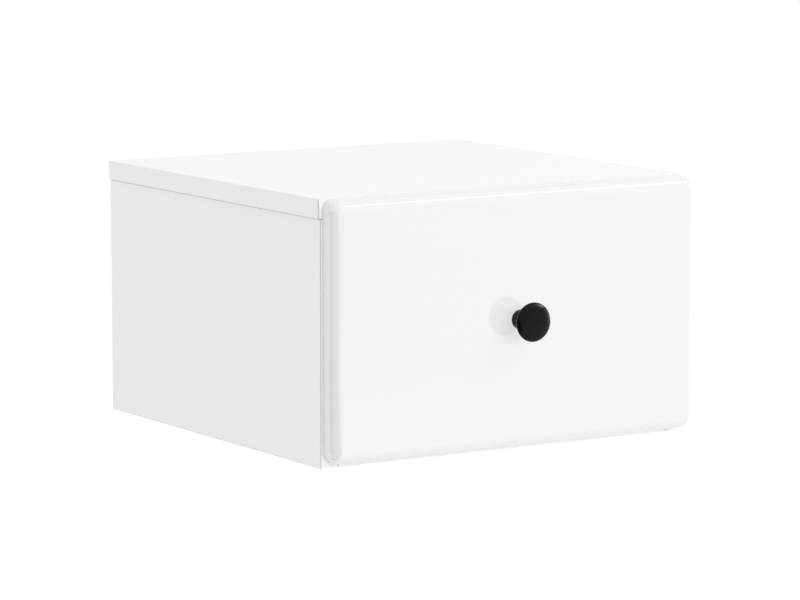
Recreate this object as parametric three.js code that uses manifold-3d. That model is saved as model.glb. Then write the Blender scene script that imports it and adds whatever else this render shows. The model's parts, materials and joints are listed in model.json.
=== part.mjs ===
// A wall-hung nightstand with one drawer. White boards are held together by cam fittings, the drawer
// runs on steel roller runners and opens by a black mushroom knob. Millimetres, +Z up, +Y towards the
// wall, and the drawer opens along -Y. The origin lies on the wall, midway between the wall screws.

import * as THREE from 'three';
import { mergeVertices } from 'three/addons/utils/BufferGeometryUtils.js';
import Module from 'manifold-3d';

const wasm = await Module();
wasm.setup();

// Body: the top lies on the side panels and overhangs them a little at each end.
const bodyWidth = 400;
const bodyHeight = 242;
const bodyDepth = 392;
const boardThickness = 18;
const topOverhang = 2;
const edgeRounding = 0.6;
const edgeCornerExtra = 0.4;

// Back: a thin panel let into the side panels, and a rail inside that the wall screws go through.
const backThickness = 3;
const rebateWidth = 9;
const railHeight = 70;
const wallScrewInset = 60;
const wallScrewDrop = 35;
const wallHoleRadius = 3.5;
const wallHeadRadius = 7.5;
const wallHeadDepth = 4;

// Drawer front: it covers the carcass edges, with a soft rounding all round its face.
const frontReveal = 0.5;
const frontThickness = 20.5;
const frontSideInset = 2.5;
const frontTopDrop = 2;
const frontBottomRise = 5;
const frontRounding = 10;
const frontCornerExtra = 0.5;

// Drawer box: the room is what is left free behind it and over it.
const drawerRearRoom = 22.8;
const drawerHeadRoom = 42;
const drawerWall = 12;
const drawerLift = 14;
const drawerBackDrop = 4;
const drawerBottomThickness = 3;
const grooveLift = 10;
const grooveDepth = 5.5;

// Knob: a neck that flares into a round head with a slightly domed face.
const knobHeadRadius = 18;
const knobHeadThickness = 6;
const knobRimRounding = 2.4;
const knobDome = 1;
const knobProjection = 28;
const knobBaseRadius = 8.5;
const knobNeckRadius = 7;
const knobNeckLength = 13;

// Runners: the cabinet channel is screwed to the side panel, the drawer rail carries the drawer side.
// Distances into the channel are counted from the inner face of the side panel.
const runnerSpace = 12.5;
const runnerSetback = 2;
const channelTail = 4;
const sheet = 1.2;
const channelRise = 1;
const channelLip = 4;
const channelGrip = 1.2;
const gripGap = 0.6;
const railGap = 0.4;
const railShelf = 11.5;
const rollerRadius = 10;
const rollerPlay = 0.8;
const rollerHubRadius = 4.2;
const rollerRimWall = 1.6;
const rollerDish = 1;
const rollerEdge = 0.4;
const axleRadius = 2;
const axleHeadRadius = 3.4;
const axleHeadHeight = 0.8;
const frontRollerInset = 14;
const rearRollerInset = 12;
const openRollerSpread = 55;
const stopHeight = 5;

// Cam fittings: a bolt in one board and a turning cam in the other. Each set's own sizes.
const carcassFitting = {
  camRadius: 7.5,
  camFloor: 5,
  setback: 24,
  shankRadius: 3.5,
  neckRadius: 2.2,
  headRadius: 3.6,
  headLength: 3,
  threadRadius: 2.5,
  threadLength: 11,
  driveWidth: 1.6,
  driveLength: 9,
};
const drawerFitting = {
  camRadius: 6,
  camFloor: 2.6,
  setback: 24,
  shankRadius: 2.8,
  neckRadius: 1.8,
  headRadius: 2.8,
  headLength: 2.6,
  threadRadius: 2.5,
  threadLength: 11,
  driveWidth: 1.4,
  driveLength: 7,
};
const driveDepthShare = 0.5;
const fittingFrontInset = 50;
const fittingRearInset = 60;

// Screws: each kind's own sizes. A sunk head sits in the board, a flat head lies on it.
const runnerScrew = { headRadius: 4, headHeight: 0.9, shankRadius: 2, length: 13, tip: 3 };
const railScrew = { headRadius: 3.2, headHeight: 1.2, shankRadius: 1.6, length: 9, tip: 2.5 };
const backScrew = { headRadius: 3.5, headHeight: 2, shankRadius: 1.7, length: 30, tip: 4 };
const knobScrew = { headRadius: 4, headHeight: 2.5, shankRadius: 2, length: 30, tip: 0.8 };
const runnerScrewFrontInset = 40;
const runnerScrewRearInset = 86;
const railScrewInset = 110;
const backScrewInset = 26;

// Clearances: seam lies between boards that meet, fit round fasteners and in grooves.
const seam = 0.2;
const fit = 0.3;
const depthFit = 0.4;
const rollGap = 0.2;
const sideClear = 0.3;
const headClear = 0.4;
const stopGap = 0.3;
const overrun = 1;

// Facets
const camSides = 16;
const screwSides = 10;
const rollerSides = 24;
const knobSides = 36;
const edgeSteps = 2;
const frontSteps = 6;
const rimSteps = 4;
const flareSteps = 6;
const domeSteps = 4;

const quarterTurn = Math.PI / 2;
const sides = { left: -1, right: 1 };

// Places that several pieces share, counted from the underside of the body and from the wall.
const sideOuter = bodyWidth / 2 - topOverhang;
const sideInner = sideOuter - boardThickness;
const topUnderside = bodyHeight - boardThickness;
const boardMiddle = boardThickness / 2;
const backFront = -(backThickness + seam);
const wallScrewHeight = topUnderside - wallScrewDrop;
const frontBack = -(bodyDepth + frontReveal);
const frontFace = frontBack - frontThickness;
const frontLow = frontBottomRise;
const frontHigh = bodyHeight - frontTopDrop;
const frontMiddle = (frontLow + frontHigh) / 2;
const boxOuter = sideInner - runnerSpace;
const boxInner = boxOuter - drawerWall;
const boxLow = boardThickness + drawerLift;
const boxHigh = topUnderside - drawerHeadRoom;
const boxFront = frontBack + seam;
const boxRear = backFront - boardThickness - drawerRearRoom;
const bottomLow = boxLow + grooveLift;
const bottomHigh = bottomLow + drawerBottomThickness;
const boxMiddle = (bottomHigh + boxHigh) / 2;

const channelLow = boxLow + channelRise;
const channelFront = -bodyDepth + runnerSetback;
const channelRear = boxRear + channelTail;
const channelCeiling = sheet + 2 * rollerRadius + rollerPlay;
const webFar = runnerSpace - seam;
const webNear = webFar - sheet;
const lipFar = webNear - railGap;
const lipNear = lipFar - sheet;
const rollerNear = seam + sheet + runnerScrew.headHeight + headClear + axleHeadHeight + sideClear;
const rollerFar = lipNear - sideClear;
const rollerWidth = rollerFar - rollerNear;
const frontRollerY = channelFront + frontRollerInset;
const frontRollerZ = channelLow + channelCeiling - rollGap - rollerRadius;
const rearRollerY = boxRear - rearRollerInset;
const rearRollerZ = channelLow + sheet + rollGap + rollerRadius;
const travel = rearRollerY - frontRollerY - openRollerSpread;

const finishes = {
  board: new THREE.MeshStandardMaterial({ color: 0xf2f2f0, roughness: 0.45 }),
  front: new THREE.MeshStandardMaterial({ color: 0xf7f7f6, roughness: 0.22 }),
  hardboard: new THREE.MeshStandardMaterial({ color: 0xe8e6e1, roughness: 0.7 }),
  enamel: new THREE.MeshStandardMaterial({ color: 0xe9e9e7, roughness: 0.4 }),
  nylon: new THREE.MeshStandardMaterial({ color: 0xdedcd4, roughness: 0.5 }),
  steel: new THREE.MeshStandardMaterial({ color: 0xb9bcc0, roughness: 0.35, metalness: 1 }),
  zinc: new THREE.MeshStandardMaterial({ color: 0xa6a8aa, roughness: 0.5, metalness: 1 }),
  knob: new THREE.MeshStandardMaterial({ color: 0x202020, roughness: 0.38 }),
};

/** A closed solid of the library that cuts and joins, from a geometry. */
function toSolid(geometry) {
  const bare = geometry.clone();
  bare.deleteAttribute('normal');
  bare.deleteAttribute('uv');
  const merged = mergeVertices(bare);
  return new wasm.Manifold(new wasm.Mesh({
    numProp: 3,
    vertProperties: Float32Array.from(merged.attributes.position.array),
    triVerts: Uint32Array.from(merged.index.array),
  }));
}

/** The geometry of a solid. */
function toGeometry(solid) {
  const { vertProperties, triVerts } = solid.getMesh();
  const geometry = new THREE.BufferGeometry();
  geometry.setAttribute('position', new THREE.BufferAttribute(vertProperties, 3));
  geometry.setIndex(new THREE.BufferAttribute(triVerts, 1));
  geometry.computeVertexNormals();
  return geometry;
}

/** The geometry less every tool. */
function carve(geometry, tools) {
  return toGeometry(tools.reduce((solid, tool) => solid.subtract(toSolid(tool)), toSolid(geometry)));
}

/** The geometry joined with every other. */
function join(geometry, others) {
  return toGeometry(others.reduce((solid, other) => solid.add(toSolid(other)), toSolid(geometry)));
}

/** A closed skin over rings of points, each anticlockwise seen from the end it runs to. */
function loft(rings) {
  const count = rings[0].length;
  const last = (rings.length - 1) * count;
  const triangles = [];
  for (let ring = 0; ring < last; ring += count) {
    for (let i = 0; i < count; i += 1) {
      const next = (i + 1) % count;
      triangles.push(ring + i, ring + next, ring + count + next);
      triangles.push(ring + i, ring + count + next, ring + count + i);
    }
  }
  for (let i = 1; i < count - 1; i += 1) {
    triangles.push(0, i + 1, i);
    triangles.push(last, last + i, last + i + 1);
  }
  const geometry = new THREE.BufferGeometry().setFromPoints(rings.flat());
  geometry.setIndex(triangles);
  return geometry;
}

/** The outline of a rectangle with round corners, anticlockwise. */
function roundedOutline(low, high, radius, steps) {
  const centres = [
    [high[0] - radius, high[1] - radius],
    [low[0] + radius, high[1] - radius],
    [low[0] + radius, low[1] + radius],
    [high[0] - radius, low[1] + radius],
  ];
  return centres.flatMap(([u, v], corner) => Array.from({ length: steps + 1 }, (_, i) => {
    const angle = (corner + i / steps) * quarterTurn;
    return [u + radius * Math.cos(angle), v + radius * Math.sin(angle)];
  }));
}

/** How the outline's two directions and the thickness lie along X, Y and Z. */
const layouts = {
  x: { outline: ['y', 'z'], point: (u, v, w) => new THREE.Vector3(w, u, v) },
  y: { outline: ['z', 'x'], point: (u, v, w) => new THREE.Vector3(v, w, u) },
  z: { outline: ['x', 'y'], point: (u, v, w) => new THREE.Vector3(u, v, w) },
};

/** A board between two corners, its thickness along one axis, with its edges rounded over. */
function board(span, across, shape = {}) {
  const { low = edgeRounding, high = edgeRounding, extra = edgeCornerExtra, steps = edgeSteps } = shape;
  const corner = Math.max(low, high) + extra;
  const { outline, point } = layouts[across];
  const [u, v] = outline.map((axis) => span[axis]);
  const [start, end] = span[across];
  const turns = Array.from({ length: steps + 1 }, (_, i) => (i / steps) * quarterTurn);
  const roundOver = (face, radius, turn) => ({
    w: face + radius * (1 - Math.cos(turn)),
    inset: Math.abs(radius) * (1 - Math.sin(turn)),
  });
  const stations = [
    ...turns.map((turn) => roundOver(start, low, turn)),
    ...turns.map((turn) => roundOver(end, -high, turn)).reverse(),
  ];
  return loft(stations.map(({ w, inset }) => roundedOutline(
    [u[0] + inset, v[0] + inset],
    [u[1] - inset, v[1] - inset],
    corner - inset,
    steps,
  ).map(([a, b]) => point(a, b, w))));
}

/** A plain block between two corners. */
function block({ x, y, z }) {
  const geometry = new THREE.BoxGeometry(x[1] - x[0], y[1] - y[0], z[1] - z[0]);
  return geometry.translate((x[0] + x[1]) / 2, (y[0] + y[1]) / 2, (z[0] + z[1]) / 2);
}

/** A round rod from one point to another. */
function rod(radius, from, to, count = screwSides) {
  const start = new THREE.Vector3(...from);
  const reach = new THREE.Vector3(...to).sub(start);
  const up = new THREE.Vector3(0, 1, 0);
  const turn = new THREE.Quaternion().setFromUnitVectors(up, reach.clone().normalize());
  const geometry = new THREE.CylinderGeometry(radius, radius, reach.length(), count);
  geometry.translate(0, reach.length() / 2, 0);
  return geometry.applyQuaternion(turn).translate(...start.toArray());
}

/** A turned piece round the Z axis, from points of radius and height. */
function turned(profile, count) {
  const points = profile.map(([radius, height]) => new THREE.Vector2(radius, height));
  return new THREE.LatheGeometry(points, count).rotateX(quarterTurn);
}

/** A profile in X and Z drawn out along Y, between the two ends. */
function drawnOut(points, [front, rear]) {
  const shape = new THREE.Shape(points.map(([x, z]) => new THREE.Vector2(x, z)));
  const geometry = new THREE.ExtrudeGeometry(shape, { depth: rear - front, bevelEnabled: false });
  return geometry.rotateX(quarterTurn).translate(0, rear, 0);
}

/** The frame at a place, with Z along the first direction and X along the second. */
function frameAt(place, along, toward) {
  const z = new THREE.Vector3(...along);
  const x = new THREE.Vector3(...toward);
  const y = new THREE.Vector3().crossVectors(z, x);
  return new THREE.Matrix4().makeBasis(x, y, z).setPosition(...place);
}

/** A named mesh, placed by a frame if it has one. */
function piece(name, geometry, material, frame = new THREE.Matrix4()) {
  const mesh = new THREE.Mesh(geometry, material);
  mesh.name = name;
  mesh.applyMatrix4(frame);
  return mesh;
}

// Cam fittings. A fitting's frame lies where the bolt leaves its own board: Z runs along the bolt into
// the cam's board, X points to the face that the cam is set in.

/** The bolt: thread, shank, neck and head. */
function camBolt(fitting) {
  const { setback, camRadius, shankRadius, neckRadius, headRadius, headLength, threadRadius } = fitting;
  const taper = shankRadius - neckRadius;
  const shankEnd = setback - camRadius - depthFit - taper;
  const headStart = setback - headLength / 2;
  const headEnd = setback + headLength / 2;
  return turned([
    [0, -fitting.threadLength],
    [threadRadius, -fitting.threadLength],
    [threadRadius, seam],
    [shankRadius, seam],
    [shankRadius, shankEnd],
    [neckRadius, shankEnd + taper],
    [neckRadius, headStart],
    [headRadius, headStart + (headRadius - neckRadius) / 2],
    [headRadius, headEnd],
    [0, headEnd + (headRadius - neckRadius) / 2],
  ], screwSides);
}

/** The cam: a disc with a pocket for the bolt's head, a slot for its neck and a cross on its face. */
function cam(fitting, boardHalf) {
  const { setback, camRadius, camFloor, neckRadius, headRadius, headLength } = fitting;
  const base = camFloor + depthFit - boardHalf;
  const face = boardHalf - fit;
  const reach = headLength / 2 + headRadius - neckRadius + depthFit;
  const pocketHalf = headRadius + depthFit;
  const neckHalf = neckRadius + depthFit;
  const driveDepth = (face - pocketHalf) * driveDepthShare;
  const body = rod(camRadius, [base, 0, setback], [face, 0, setback], camSides);
  const pocket = block({
    x: [base - overrun, pocketHalf],
    y: [-pocketHalf, pocketHalf],
    z: [setback - reach, setback + reach],
  });
  const slot = block({
    x: [base - overrun, neckHalf],
    y: [-neckHalf, neckHalf],
    z: [setback - camRadius - overrun, setback],
  });
  const drive = [0, quarterTurn].map((turn) => block({
    x: [face - driveDepth, face + overrun],
    y: [-fitting.driveWidth / 2, fitting.driveWidth / 2],
    z: [-fitting.driveLength / 2, fitting.driveLength / 2],
  }).rotateX(turn).translate(0, 0, setback));
  return carve(body, [pocket, slot, ...drive]);
}

/** The holes that a fitting needs in the board that holds its bolt. */
function boltHole(fitting, frame) {
  const end = -(fitting.threadLength + depthFit);
  return [rod(fitting.threadRadius + fit, [0, 0, end], [0, 0, overrun]).applyMatrix4(frame)];
}

/** The holes that a fitting needs in the board that holds its cam. */
function camHoles(fitting, frame, boardHalf) {
  const { setback, camRadius, camFloor, shankRadius } = fitting;
  const ends = [camFloor - boardHalf, boardHalf + overrun];
  const bed = rod(camRadius + fit, [ends[0], 0, setback], [ends[1], 0, setback], camSides);
  const bore = rod(shankRadius + fit, [0, 0, -overrun], [0, 0, setback]);
  return [bed.applyMatrix4(frame), bore.applyMatrix4(frame)];
}

/** Every fitting of the nightstand: what it holds, its sizes and its frame. */
function fittings() {
  const list = [];
  const places = { front: -bodyDepth + fittingFrontInset, rear: -fittingRearInset };
  for (const [side, sign] of Object.entries(sides)) {
    for (const [end, y] of Object.entries(places)) {
      list.push({
        name: `top_${side}_${end}`,
        joint: 'top',
        side,
        sizes: carcassFitting,
        half: boardMiddle,
        frame: frameAt([sign * (sideInner + boardMiddle), y, topUnderside], [0, 0, -1], [-sign, 0, 0]),
      });
      list.push({
        name: `bottom_${side}_${end}`,
        joint: 'bottom',
        side,
        sizes: carcassFitting,
        half: boardMiddle,
        frame: frameAt([sign * sideInner, y, boardMiddle], [-sign, 0, 0], [0, 0, -1]),
      });
    }
    list.push({
      name: `rail_${side}`,
      joint: 'rail',
      side,
      sizes: carcassFitting,
      half: boardMiddle,
      frame: frameAt([sign * sideInner, backFront - boardMiddle, wallScrewHeight], [-sign, 0, 0], [0, -1, 0]),
    });
    list.push({
      name: `front_${side}`,
      joint: 'front',
      side,
      sizes: drawerFitting,
      half: drawerWall / 2,
      frame: frameAt([sign * (boxOuter - drawerWall / 2), frontBack, boxMiddle], [0, 1, 0], [sign, 0, 0]),
    });
  }
  return list;
}

const allFittings = fittings();
const ofJoint = (joint, side) => (
  allFittings.filter((one) => one.joint === joint && (!side || one.side === side))
);
const boltHoles = (list) => list.flatMap((one) => boltHole(one.sizes, one.frame));
const camBeds = (list) => list.flatMap((one) => camHoles(one.sizes, one.frame, one.half));

/** The bolt and the cam of each fitting in a list. */
function fittingPieces(list) {
  return list.flatMap((one) => [
    piece(`${one.name}_cam_bolt`, camBolt(one.sizes), finishes.steel, one.frame),
    piece(`${one.name}_cam`, cam(one.sizes, one.half), finishes.zinc, one.frame),
  ]);
}

// Screws. A screw's frame lies on the face under its head, with Z along its shank.

/** A screw with a low flat head that lies on the face. */
function flatScrew({ headRadius, headHeight, shankRadius, length, tip }) {
  return turned([
    [0, -headHeight],
    [headRadius - headHeight / 2, -headHeight],
    [headRadius, -headHeight / 2],
    [headRadius, -seam],
    [shankRadius, -seam],
    [shankRadius, length - tip],
    [0, length],
  ], screwSides);
}

/** A screw with a cone head that is sunk flush in the face. */
function sunkScrew({ headRadius, headHeight, shankRadius, length, tip }) {
  return turned([
    [0, fit],
    [headRadius, fit],
    [headRadius, 2 * fit],
    [shankRadius, headHeight + fit],
    [shankRadius, length - tip],
    [0, length],
  ], screwSides);
}

/** The hole for a screw's shank. */
function screwHole({ shankRadius, length }, frame) {
  return rod(shankRadius + fit, [0, 0, -overrun], [0, 0, length + depthFit]).applyMatrix4(frame);
}

/** The cone that a sunk head sits in. */
function sunkSeat({ headRadius, headHeight, shankRadius }, frame) {
  const step = headRadius - shankRadius;
  return turned([
    [0, -overrun],
    [headRadius + fit, -overrun],
    [headRadius + fit, 2 * fit],
    [headRadius - step + fit, headHeight + 2 * fit],
    [0, headHeight + 2 * fit],
  ], screwSides).applyMatrix4(frame);
}

const runnerScrewPlaces = [channelFront + runnerScrewFrontInset, channelRear - runnerScrewRearInset];
const runnerScrewHeight = channelLow + channelCeiling / 2;
const railScrewIn = runnerSpace + (drawerWall - grooveDepth) / 2;
const backScrewHeights = [bottomHigh + backScrewInset, boxHigh - drawerBackDrop - backScrewInset];

const screwFrames = {
  runner: (sign) => runnerScrewPlaces.map((y) => frameAt(
    [sign * (sideInner - seam - sheet), y, runnerScrewHeight],
    [sign, 0, 0],
    [0, 0, 1],
  )),
  rail: (sign) => [frameAt(
    [sign * (sideInner - railScrewIn), boxFront + railScrewInset, boxLow - seam - sheet],
    [0, 0, 1],
    [1, 0, 0],
  )],
  back: (sign) => backScrewHeights.map((z) => frameAt(
    [sign * boxOuter, boxRear - drawerWall / 2, z],
    [-sign, 0, 0],
    [0, 0, 1],
  )),
  knob: () => frameAt([0, frontBack, frontMiddle], [0, -1, 0], [1, 0, 0]),
};

/** A round cut at each of the two wall screws, from one place along Y to another. */
function wallCuts(radius, from, to) {
  return [-1, 1].map((way) => {
    const x = way * (sideInner - wallScrewInset);
    return rod(radius, [x, from, wallScrewHeight], [x, to, wallScrewHeight], camSides);
  });
}

/** The carcass: top, side panels, bottom, back panel and hanging rail, with their fittings. */
function carcass() {
  const group = new THREE.Group();
  const panelHigh = topUnderside - seam;
  const railSpan = {
    x: [-sideInner + seam, sideInner - seam],
    y: [backFront - boardThickness, backFront],
    z: [panelHigh - railHeight, panelHigh],
  };
  const top = board({
    x: [-bodyWidth / 2, bodyWidth / 2],
    y: [-bodyDepth, 0],
    z: [topUnderside, bodyHeight],
  }, 'z');
  const bottom = board({
    x: [-sideInner + seam, sideInner - seam],
    y: [-bodyDepth, backFront],
    z: [0, boardThickness],
  }, 'z');
  const back = block({
    x: [-(sideInner + rebateWidth - fit), sideInner + rebateWidth - fit],
    y: [-backThickness, 0],
    z: [0, panelHigh],
  });
  const rail = board(railSpan, 'y');
  const railFace = railSpan.y[0];
  const wallHoles = wallCuts(wallHoleRadius, railFace - overrun, overrun);
  const headSeats = wallCuts(wallHeadRadius, railFace - overrun, railFace + wallHeadDepth);
  group.add(piece('top_panel', carve(top, boltHoles(ofJoint('top'))), finishes.board));
  group.add(piece('bottom_panel', carve(bottom, camBeds(ofJoint('bottom'))), finishes.board));
  group.add(piece('back_panel', carve(back, wallHoles), finishes.hardboard));
  group.add(piece(
    'hanging_rail',
    carve(rail, [...camBeds(ofJoint('rail')), ...wallHoles, ...headSeats]),
    finishes.board,
  ));
  for (const [side, sign] of Object.entries(sides)) {
    const faces = [sign * sideInner, sign * sideOuter].sort((a, b) => a - b);
    const rebate = [sign * (sideInner - overrun), sign * (sideInner + rebateWidth)].sort((a, b) => a - b);
    const panel = board({ x: faces, y: [-bodyDepth, 0], z: [0, panelHigh] }, 'x');
    const cuts = [
      block({ x: rebate, y: [backFront, overrun], z: [-overrun, panelHigh + overrun] }),
      ...camBeds(ofJoint('top', side)),
      ...boltHoles([...ofJoint('bottom', side), ...ofJoint('rail', side)]),
      ...screwFrames.runner(sign).map((frame) => screwHole(runnerScrew, frame)),
    ];
    group.add(piece(`side_panel_${side}`, carve(panel, cuts), finishes.board));
  }
  group.add(...fittingPieces(allFittings.filter((one) => one.joint !== 'front')));
  return group;
}

/** The drawer front: a thick board with a soft rounded face, grooved for the drawer bottom. */
function drawerFront() {
  const face = board({
    x: [-(sideOuter - frontSideInset), sideOuter - frontSideInset],
    y: [frontFace, frontBack],
    z: [frontLow, frontHigh],
  }, 'y', { low: frontRounding, extra: frontCornerExtra, steps: frontSteps });
  const groove = block({
    x: [-(boxInner + grooveDepth), boxInner + grooveDepth],
    y: [frontBack - grooveDepth, frontBack + overrun],
    z: [bottomLow - fit, bottomHigh + fit],
  });
  const cuts = [groove, ...boltHoles(ofJoint('front')), screwHole(knobScrew, screwFrames.knob())];
  return piece('drawer_front', carve(face, cuts), finishes.front);
}

/** A drawer side, grooved for the bottom and drilled for its fitting and screws. */
function drawerSide(side, sign) {
  const faces = [sign * boxInner, sign * boxOuter].sort((a, b) => a - b);
  const groove = [sign * (boxInner - overrun), sign * (boxInner + grooveDepth)].sort((a, b) => a - b);
  const plank = board({ x: faces, y: [boxFront, boxRear], z: [boxLow, boxHigh] }, 'x');
  const cuts = [
    block({
      x: groove,
      y: [boxFront - overrun, boxRear + overrun],
      z: [bottomLow - fit, bottomHigh + fit],
    }),
    ...camBeds(ofJoint('front', side)),
    ...screwFrames.rail(sign).map((frame) => screwHole(railScrew, frame)),
    ...screwFrames.back(sign).flatMap((frame) => [screwHole(backScrew, frame), sunkSeat(backScrew, frame)]),
  ];
  return piece(`drawer_side_${side}`, carve(plank, cuts), finishes.board);
}

/** The knob: base, neck, flare, rim and domed face, with a blind hole for its screw. */
function knob() {
  const headBack = knobProjection - knobHeadThickness;
  const rimCentre = knobHeadRadius - knobRimRounding;
  const faceStart = knobProjection - knobDome;
  const flare = Array.from({ length: flareSteps + 1 }, (_, i) => {
    const turn = (i / flareSteps) * quarterTurn;
    return [
      knobNeckRadius + (rimCentre - knobNeckRadius) * (1 - Math.cos(turn)),
      knobNeckLength + (headBack - knobNeckLength) * Math.sin(turn),
    ];
  });
  const rimMiddle = (headBack + faceStart) / 2;
  const rimHalf = (faceStart - headBack) / 2;
  const rim = Array.from({ length: 2 * rimSteps + 1 }, (_, i) => {
    const turn = (i / rimSteps - 1) * quarterTurn;
    return [rimCentre + knobRimRounding * Math.cos(turn), rimMiddle + rimHalf * Math.sin(turn)];
  });
  const dome = Array.from({ length: domeSteps }, (_, i) => {
    const out = 1 - (i + 1) / domeSteps;
    return [rimCentre * out, faceStart + knobDome * (1 - out ** 2)];
  });
  const profile = [
    [0, seam],
    [knobBaseRadius - edgeRounding, seam],
    [knobBaseRadius, seam + edgeRounding],
    [knobBaseRadius, 2 * edgeRounding],
    ...flare,
    ...rim.slice(1),
    ...dome,
  ];
  const threaded = rod(
    knobScrew.shankRadius + fit,
    [0, 0, -overrun],
    [0, 0, knobScrew.length - frontThickness + depthFit],
  );
  const frame = frameAt([0, frontFace, frontMiddle], [0, -1, 0], [1, 0, 0]);
  return piece('knob', carve(turned(profile, knobSides), [threaded]), finishes.knob, frame);
}

/** The drawer: front, sides, back, bottom and knob, with their fittings and screws. */
function drawer() {
  const group = new THREE.Group();
  const backSpan = {
    x: [-boxInner + seam, boxInner - seam],
    y: [boxRear - drawerWall, boxRear],
    z: [bottomHigh + seam, boxHigh - drawerBackDrop],
  };
  const backCuts = Object.values(sides).flatMap((sign) => (
    screwFrames.back(sign).map((frame) => screwHole(backScrew, frame))
  ));
  const bottomReach = boxInner + grooveDepth - depthFit;
  const bottom = block({
    x: [-bottomReach, bottomReach],
    y: [frontBack - grooveDepth + depthFit, boxRear],
    z: [bottomLow, bottomHigh],
  });
  group.add(drawerFront());
  group.add(...Object.entries(sides).map(([side, sign]) => drawerSide(side, sign)));
  group.add(piece('drawer_back', carve(board(backSpan, 'y'), backCuts), finishes.board));
  group.add(piece('drawer_bottom', bottom, finishes.hardboard));
  group.add(knob());
  group.add(piece('knob_screw', flatScrew(knobScrew), finishes.steel, screwFrames.knob()));
  group.add(...fittingPieces(ofJoint('front')));
  for (const [side, sign] of Object.entries(sides)) {
    screwFrames.back(sign).forEach((frame, i) => {
      const name = `drawer_back_screw_${side}_${['lower', 'upper'][i]}`;
      group.add(piece(name, sunkScrew(backScrew), finishes.steel, frame));
    });
  }
  return group;
}

/** A nylon roller, dished on one face, its axis along Z and centred on its width. */
function roller() {
  const half = rollerWidth / 2;
  const rollerBore = axleRadius + fit;
  const rimInner = rollerRadius - rollerRimWall;
  return turned([
    [rollerBore, -half],
    [rollerRadius - rollerEdge, -half],
    [rollerRadius, -half + rollerEdge],
    [rollerRadius, half - rollerEdge],
    [rollerRadius - rollerEdge, half],
    [rimInner, half],
    [rimInner, half - rollerDish],
    [rollerHubRadius, half - rollerDish],
    [rollerHubRadius, half],
    [rollerBore, half],
    [rollerBore, -half],
  ], rollerSides);
}

/** A riveted axle: its tail fills the web's hole, a shoulder spaces the roller and a head keeps it. */
function rollerAxle(shoulder) {
  const headStart = shoulder + rollerWidth + 2 * sideClear;
  return turned([
    [0, 0],
    [axleRadius, 0],
    [axleRadius, sheet + seam],
    [axleHeadRadius, sheet + seam],
    [axleHeadRadius, shoulder],
    [axleRadius, shoulder],
    [axleRadius, headStart],
    [axleHeadRadius, headStart],
    [axleHeadRadius, headStart + axleHeadHeight],
    [0, headStart + axleHeadHeight],
  ], screwSides);
}

/** A span along X between two places, counted into the channel from the side panel. */
function intoChannel(sign, near, far) {
  return [sign * (sideInner - near), sign * (sideInner - far)].sort((a, b) => a - b);
}

/** The cabinet channel: web, floor with a lip, and a short ceiling, with a stop at each end of travel. */
function cabinetRunner(side, sign) {
  const web = seam + sheet;
  const gripFar = rollerNear + channelGrip;
  const outline = [
    [seam, 0],
    [lipFar, 0],
    [lipFar, channelLip],
    [lipNear, channelLip],
    [lipNear, sheet],
    [web, sheet],
    [web, channelCeiling],
    [gripFar, channelCeiling],
    [gripFar, channelCeiling + sheet],
    [seam, channelCeiling + sheet],
  ].map(([into, up]) => [sign * (sideInner - into), channelLow + up]);
  const rearStop = rearRollerY + rollerRadius + stopGap;
  const openStop = rearRollerY - travel - rollerRadius - stopGap - sheet;
  const stops = [rearStop, openStop].map((y) => block({
    x: intoChannel(sign, rollerNear, rollerFar),
    y: [y, y + sheet],
    z: [channelLow + sheet / 2, channelLow + sheet + stopHeight],
  }));
  const holes = [
    ...screwFrames.runner(sign).map((frame) => screwHole(runnerScrew, frame)),
    rod(
      axleRadius + fit,
      [sign * (sideInner + overrun), frontRollerY, frontRollerZ],
      [sign * (sideInner - web - overrun), frontRollerY, frontRollerZ],
    ),
  ];
  const channel = join(drawnOut(outline, [channelFront, channelRear]), stops);
  return piece(`cabinet_runner_${side}`, carve(channel, holes), finishes.enamel);
}

/** The drawer rail: a web on the drawer side, a shelf under it and a flange that rides on the roller. */
function drawerRunner(side, sign) {
  const shelfHigh = boxLow - seam - channelLow;
  const flangeNear = rollerNear + channelGrip + gripGap;
  const outline = [
    [webNear, shelfHigh - sheet],
    [webFar + railShelf, shelfHigh - sheet],
    [webFar + railShelf, shelfHigh],
    [webFar, shelfHigh],
    [webFar, channelCeiling + sheet],
    [flangeNear, channelCeiling + sheet],
    [flangeNear, channelCeiling],
    [webNear, channelCeiling],
  ].map(([into, up]) => [sign * (sideInner - into), channelLow + up]);
  const holes = [
    ...screwFrames.rail(sign).map((frame) => screwHole(railScrew, frame)),
    rod(
      axleRadius + fit,
      [sign * (sideInner - webNear + overrun), rearRollerY, rearRollerZ],
      [sign * (sideInner - webFar - overrun), rearRollerY, rearRollerZ],
    ),
  ];
  const profile = drawnOut(outline, [boxFront, boxRear]);
  return piece(`drawer_runner_${side}`, carve(profile, holes), finishes.enamel);
}

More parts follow.
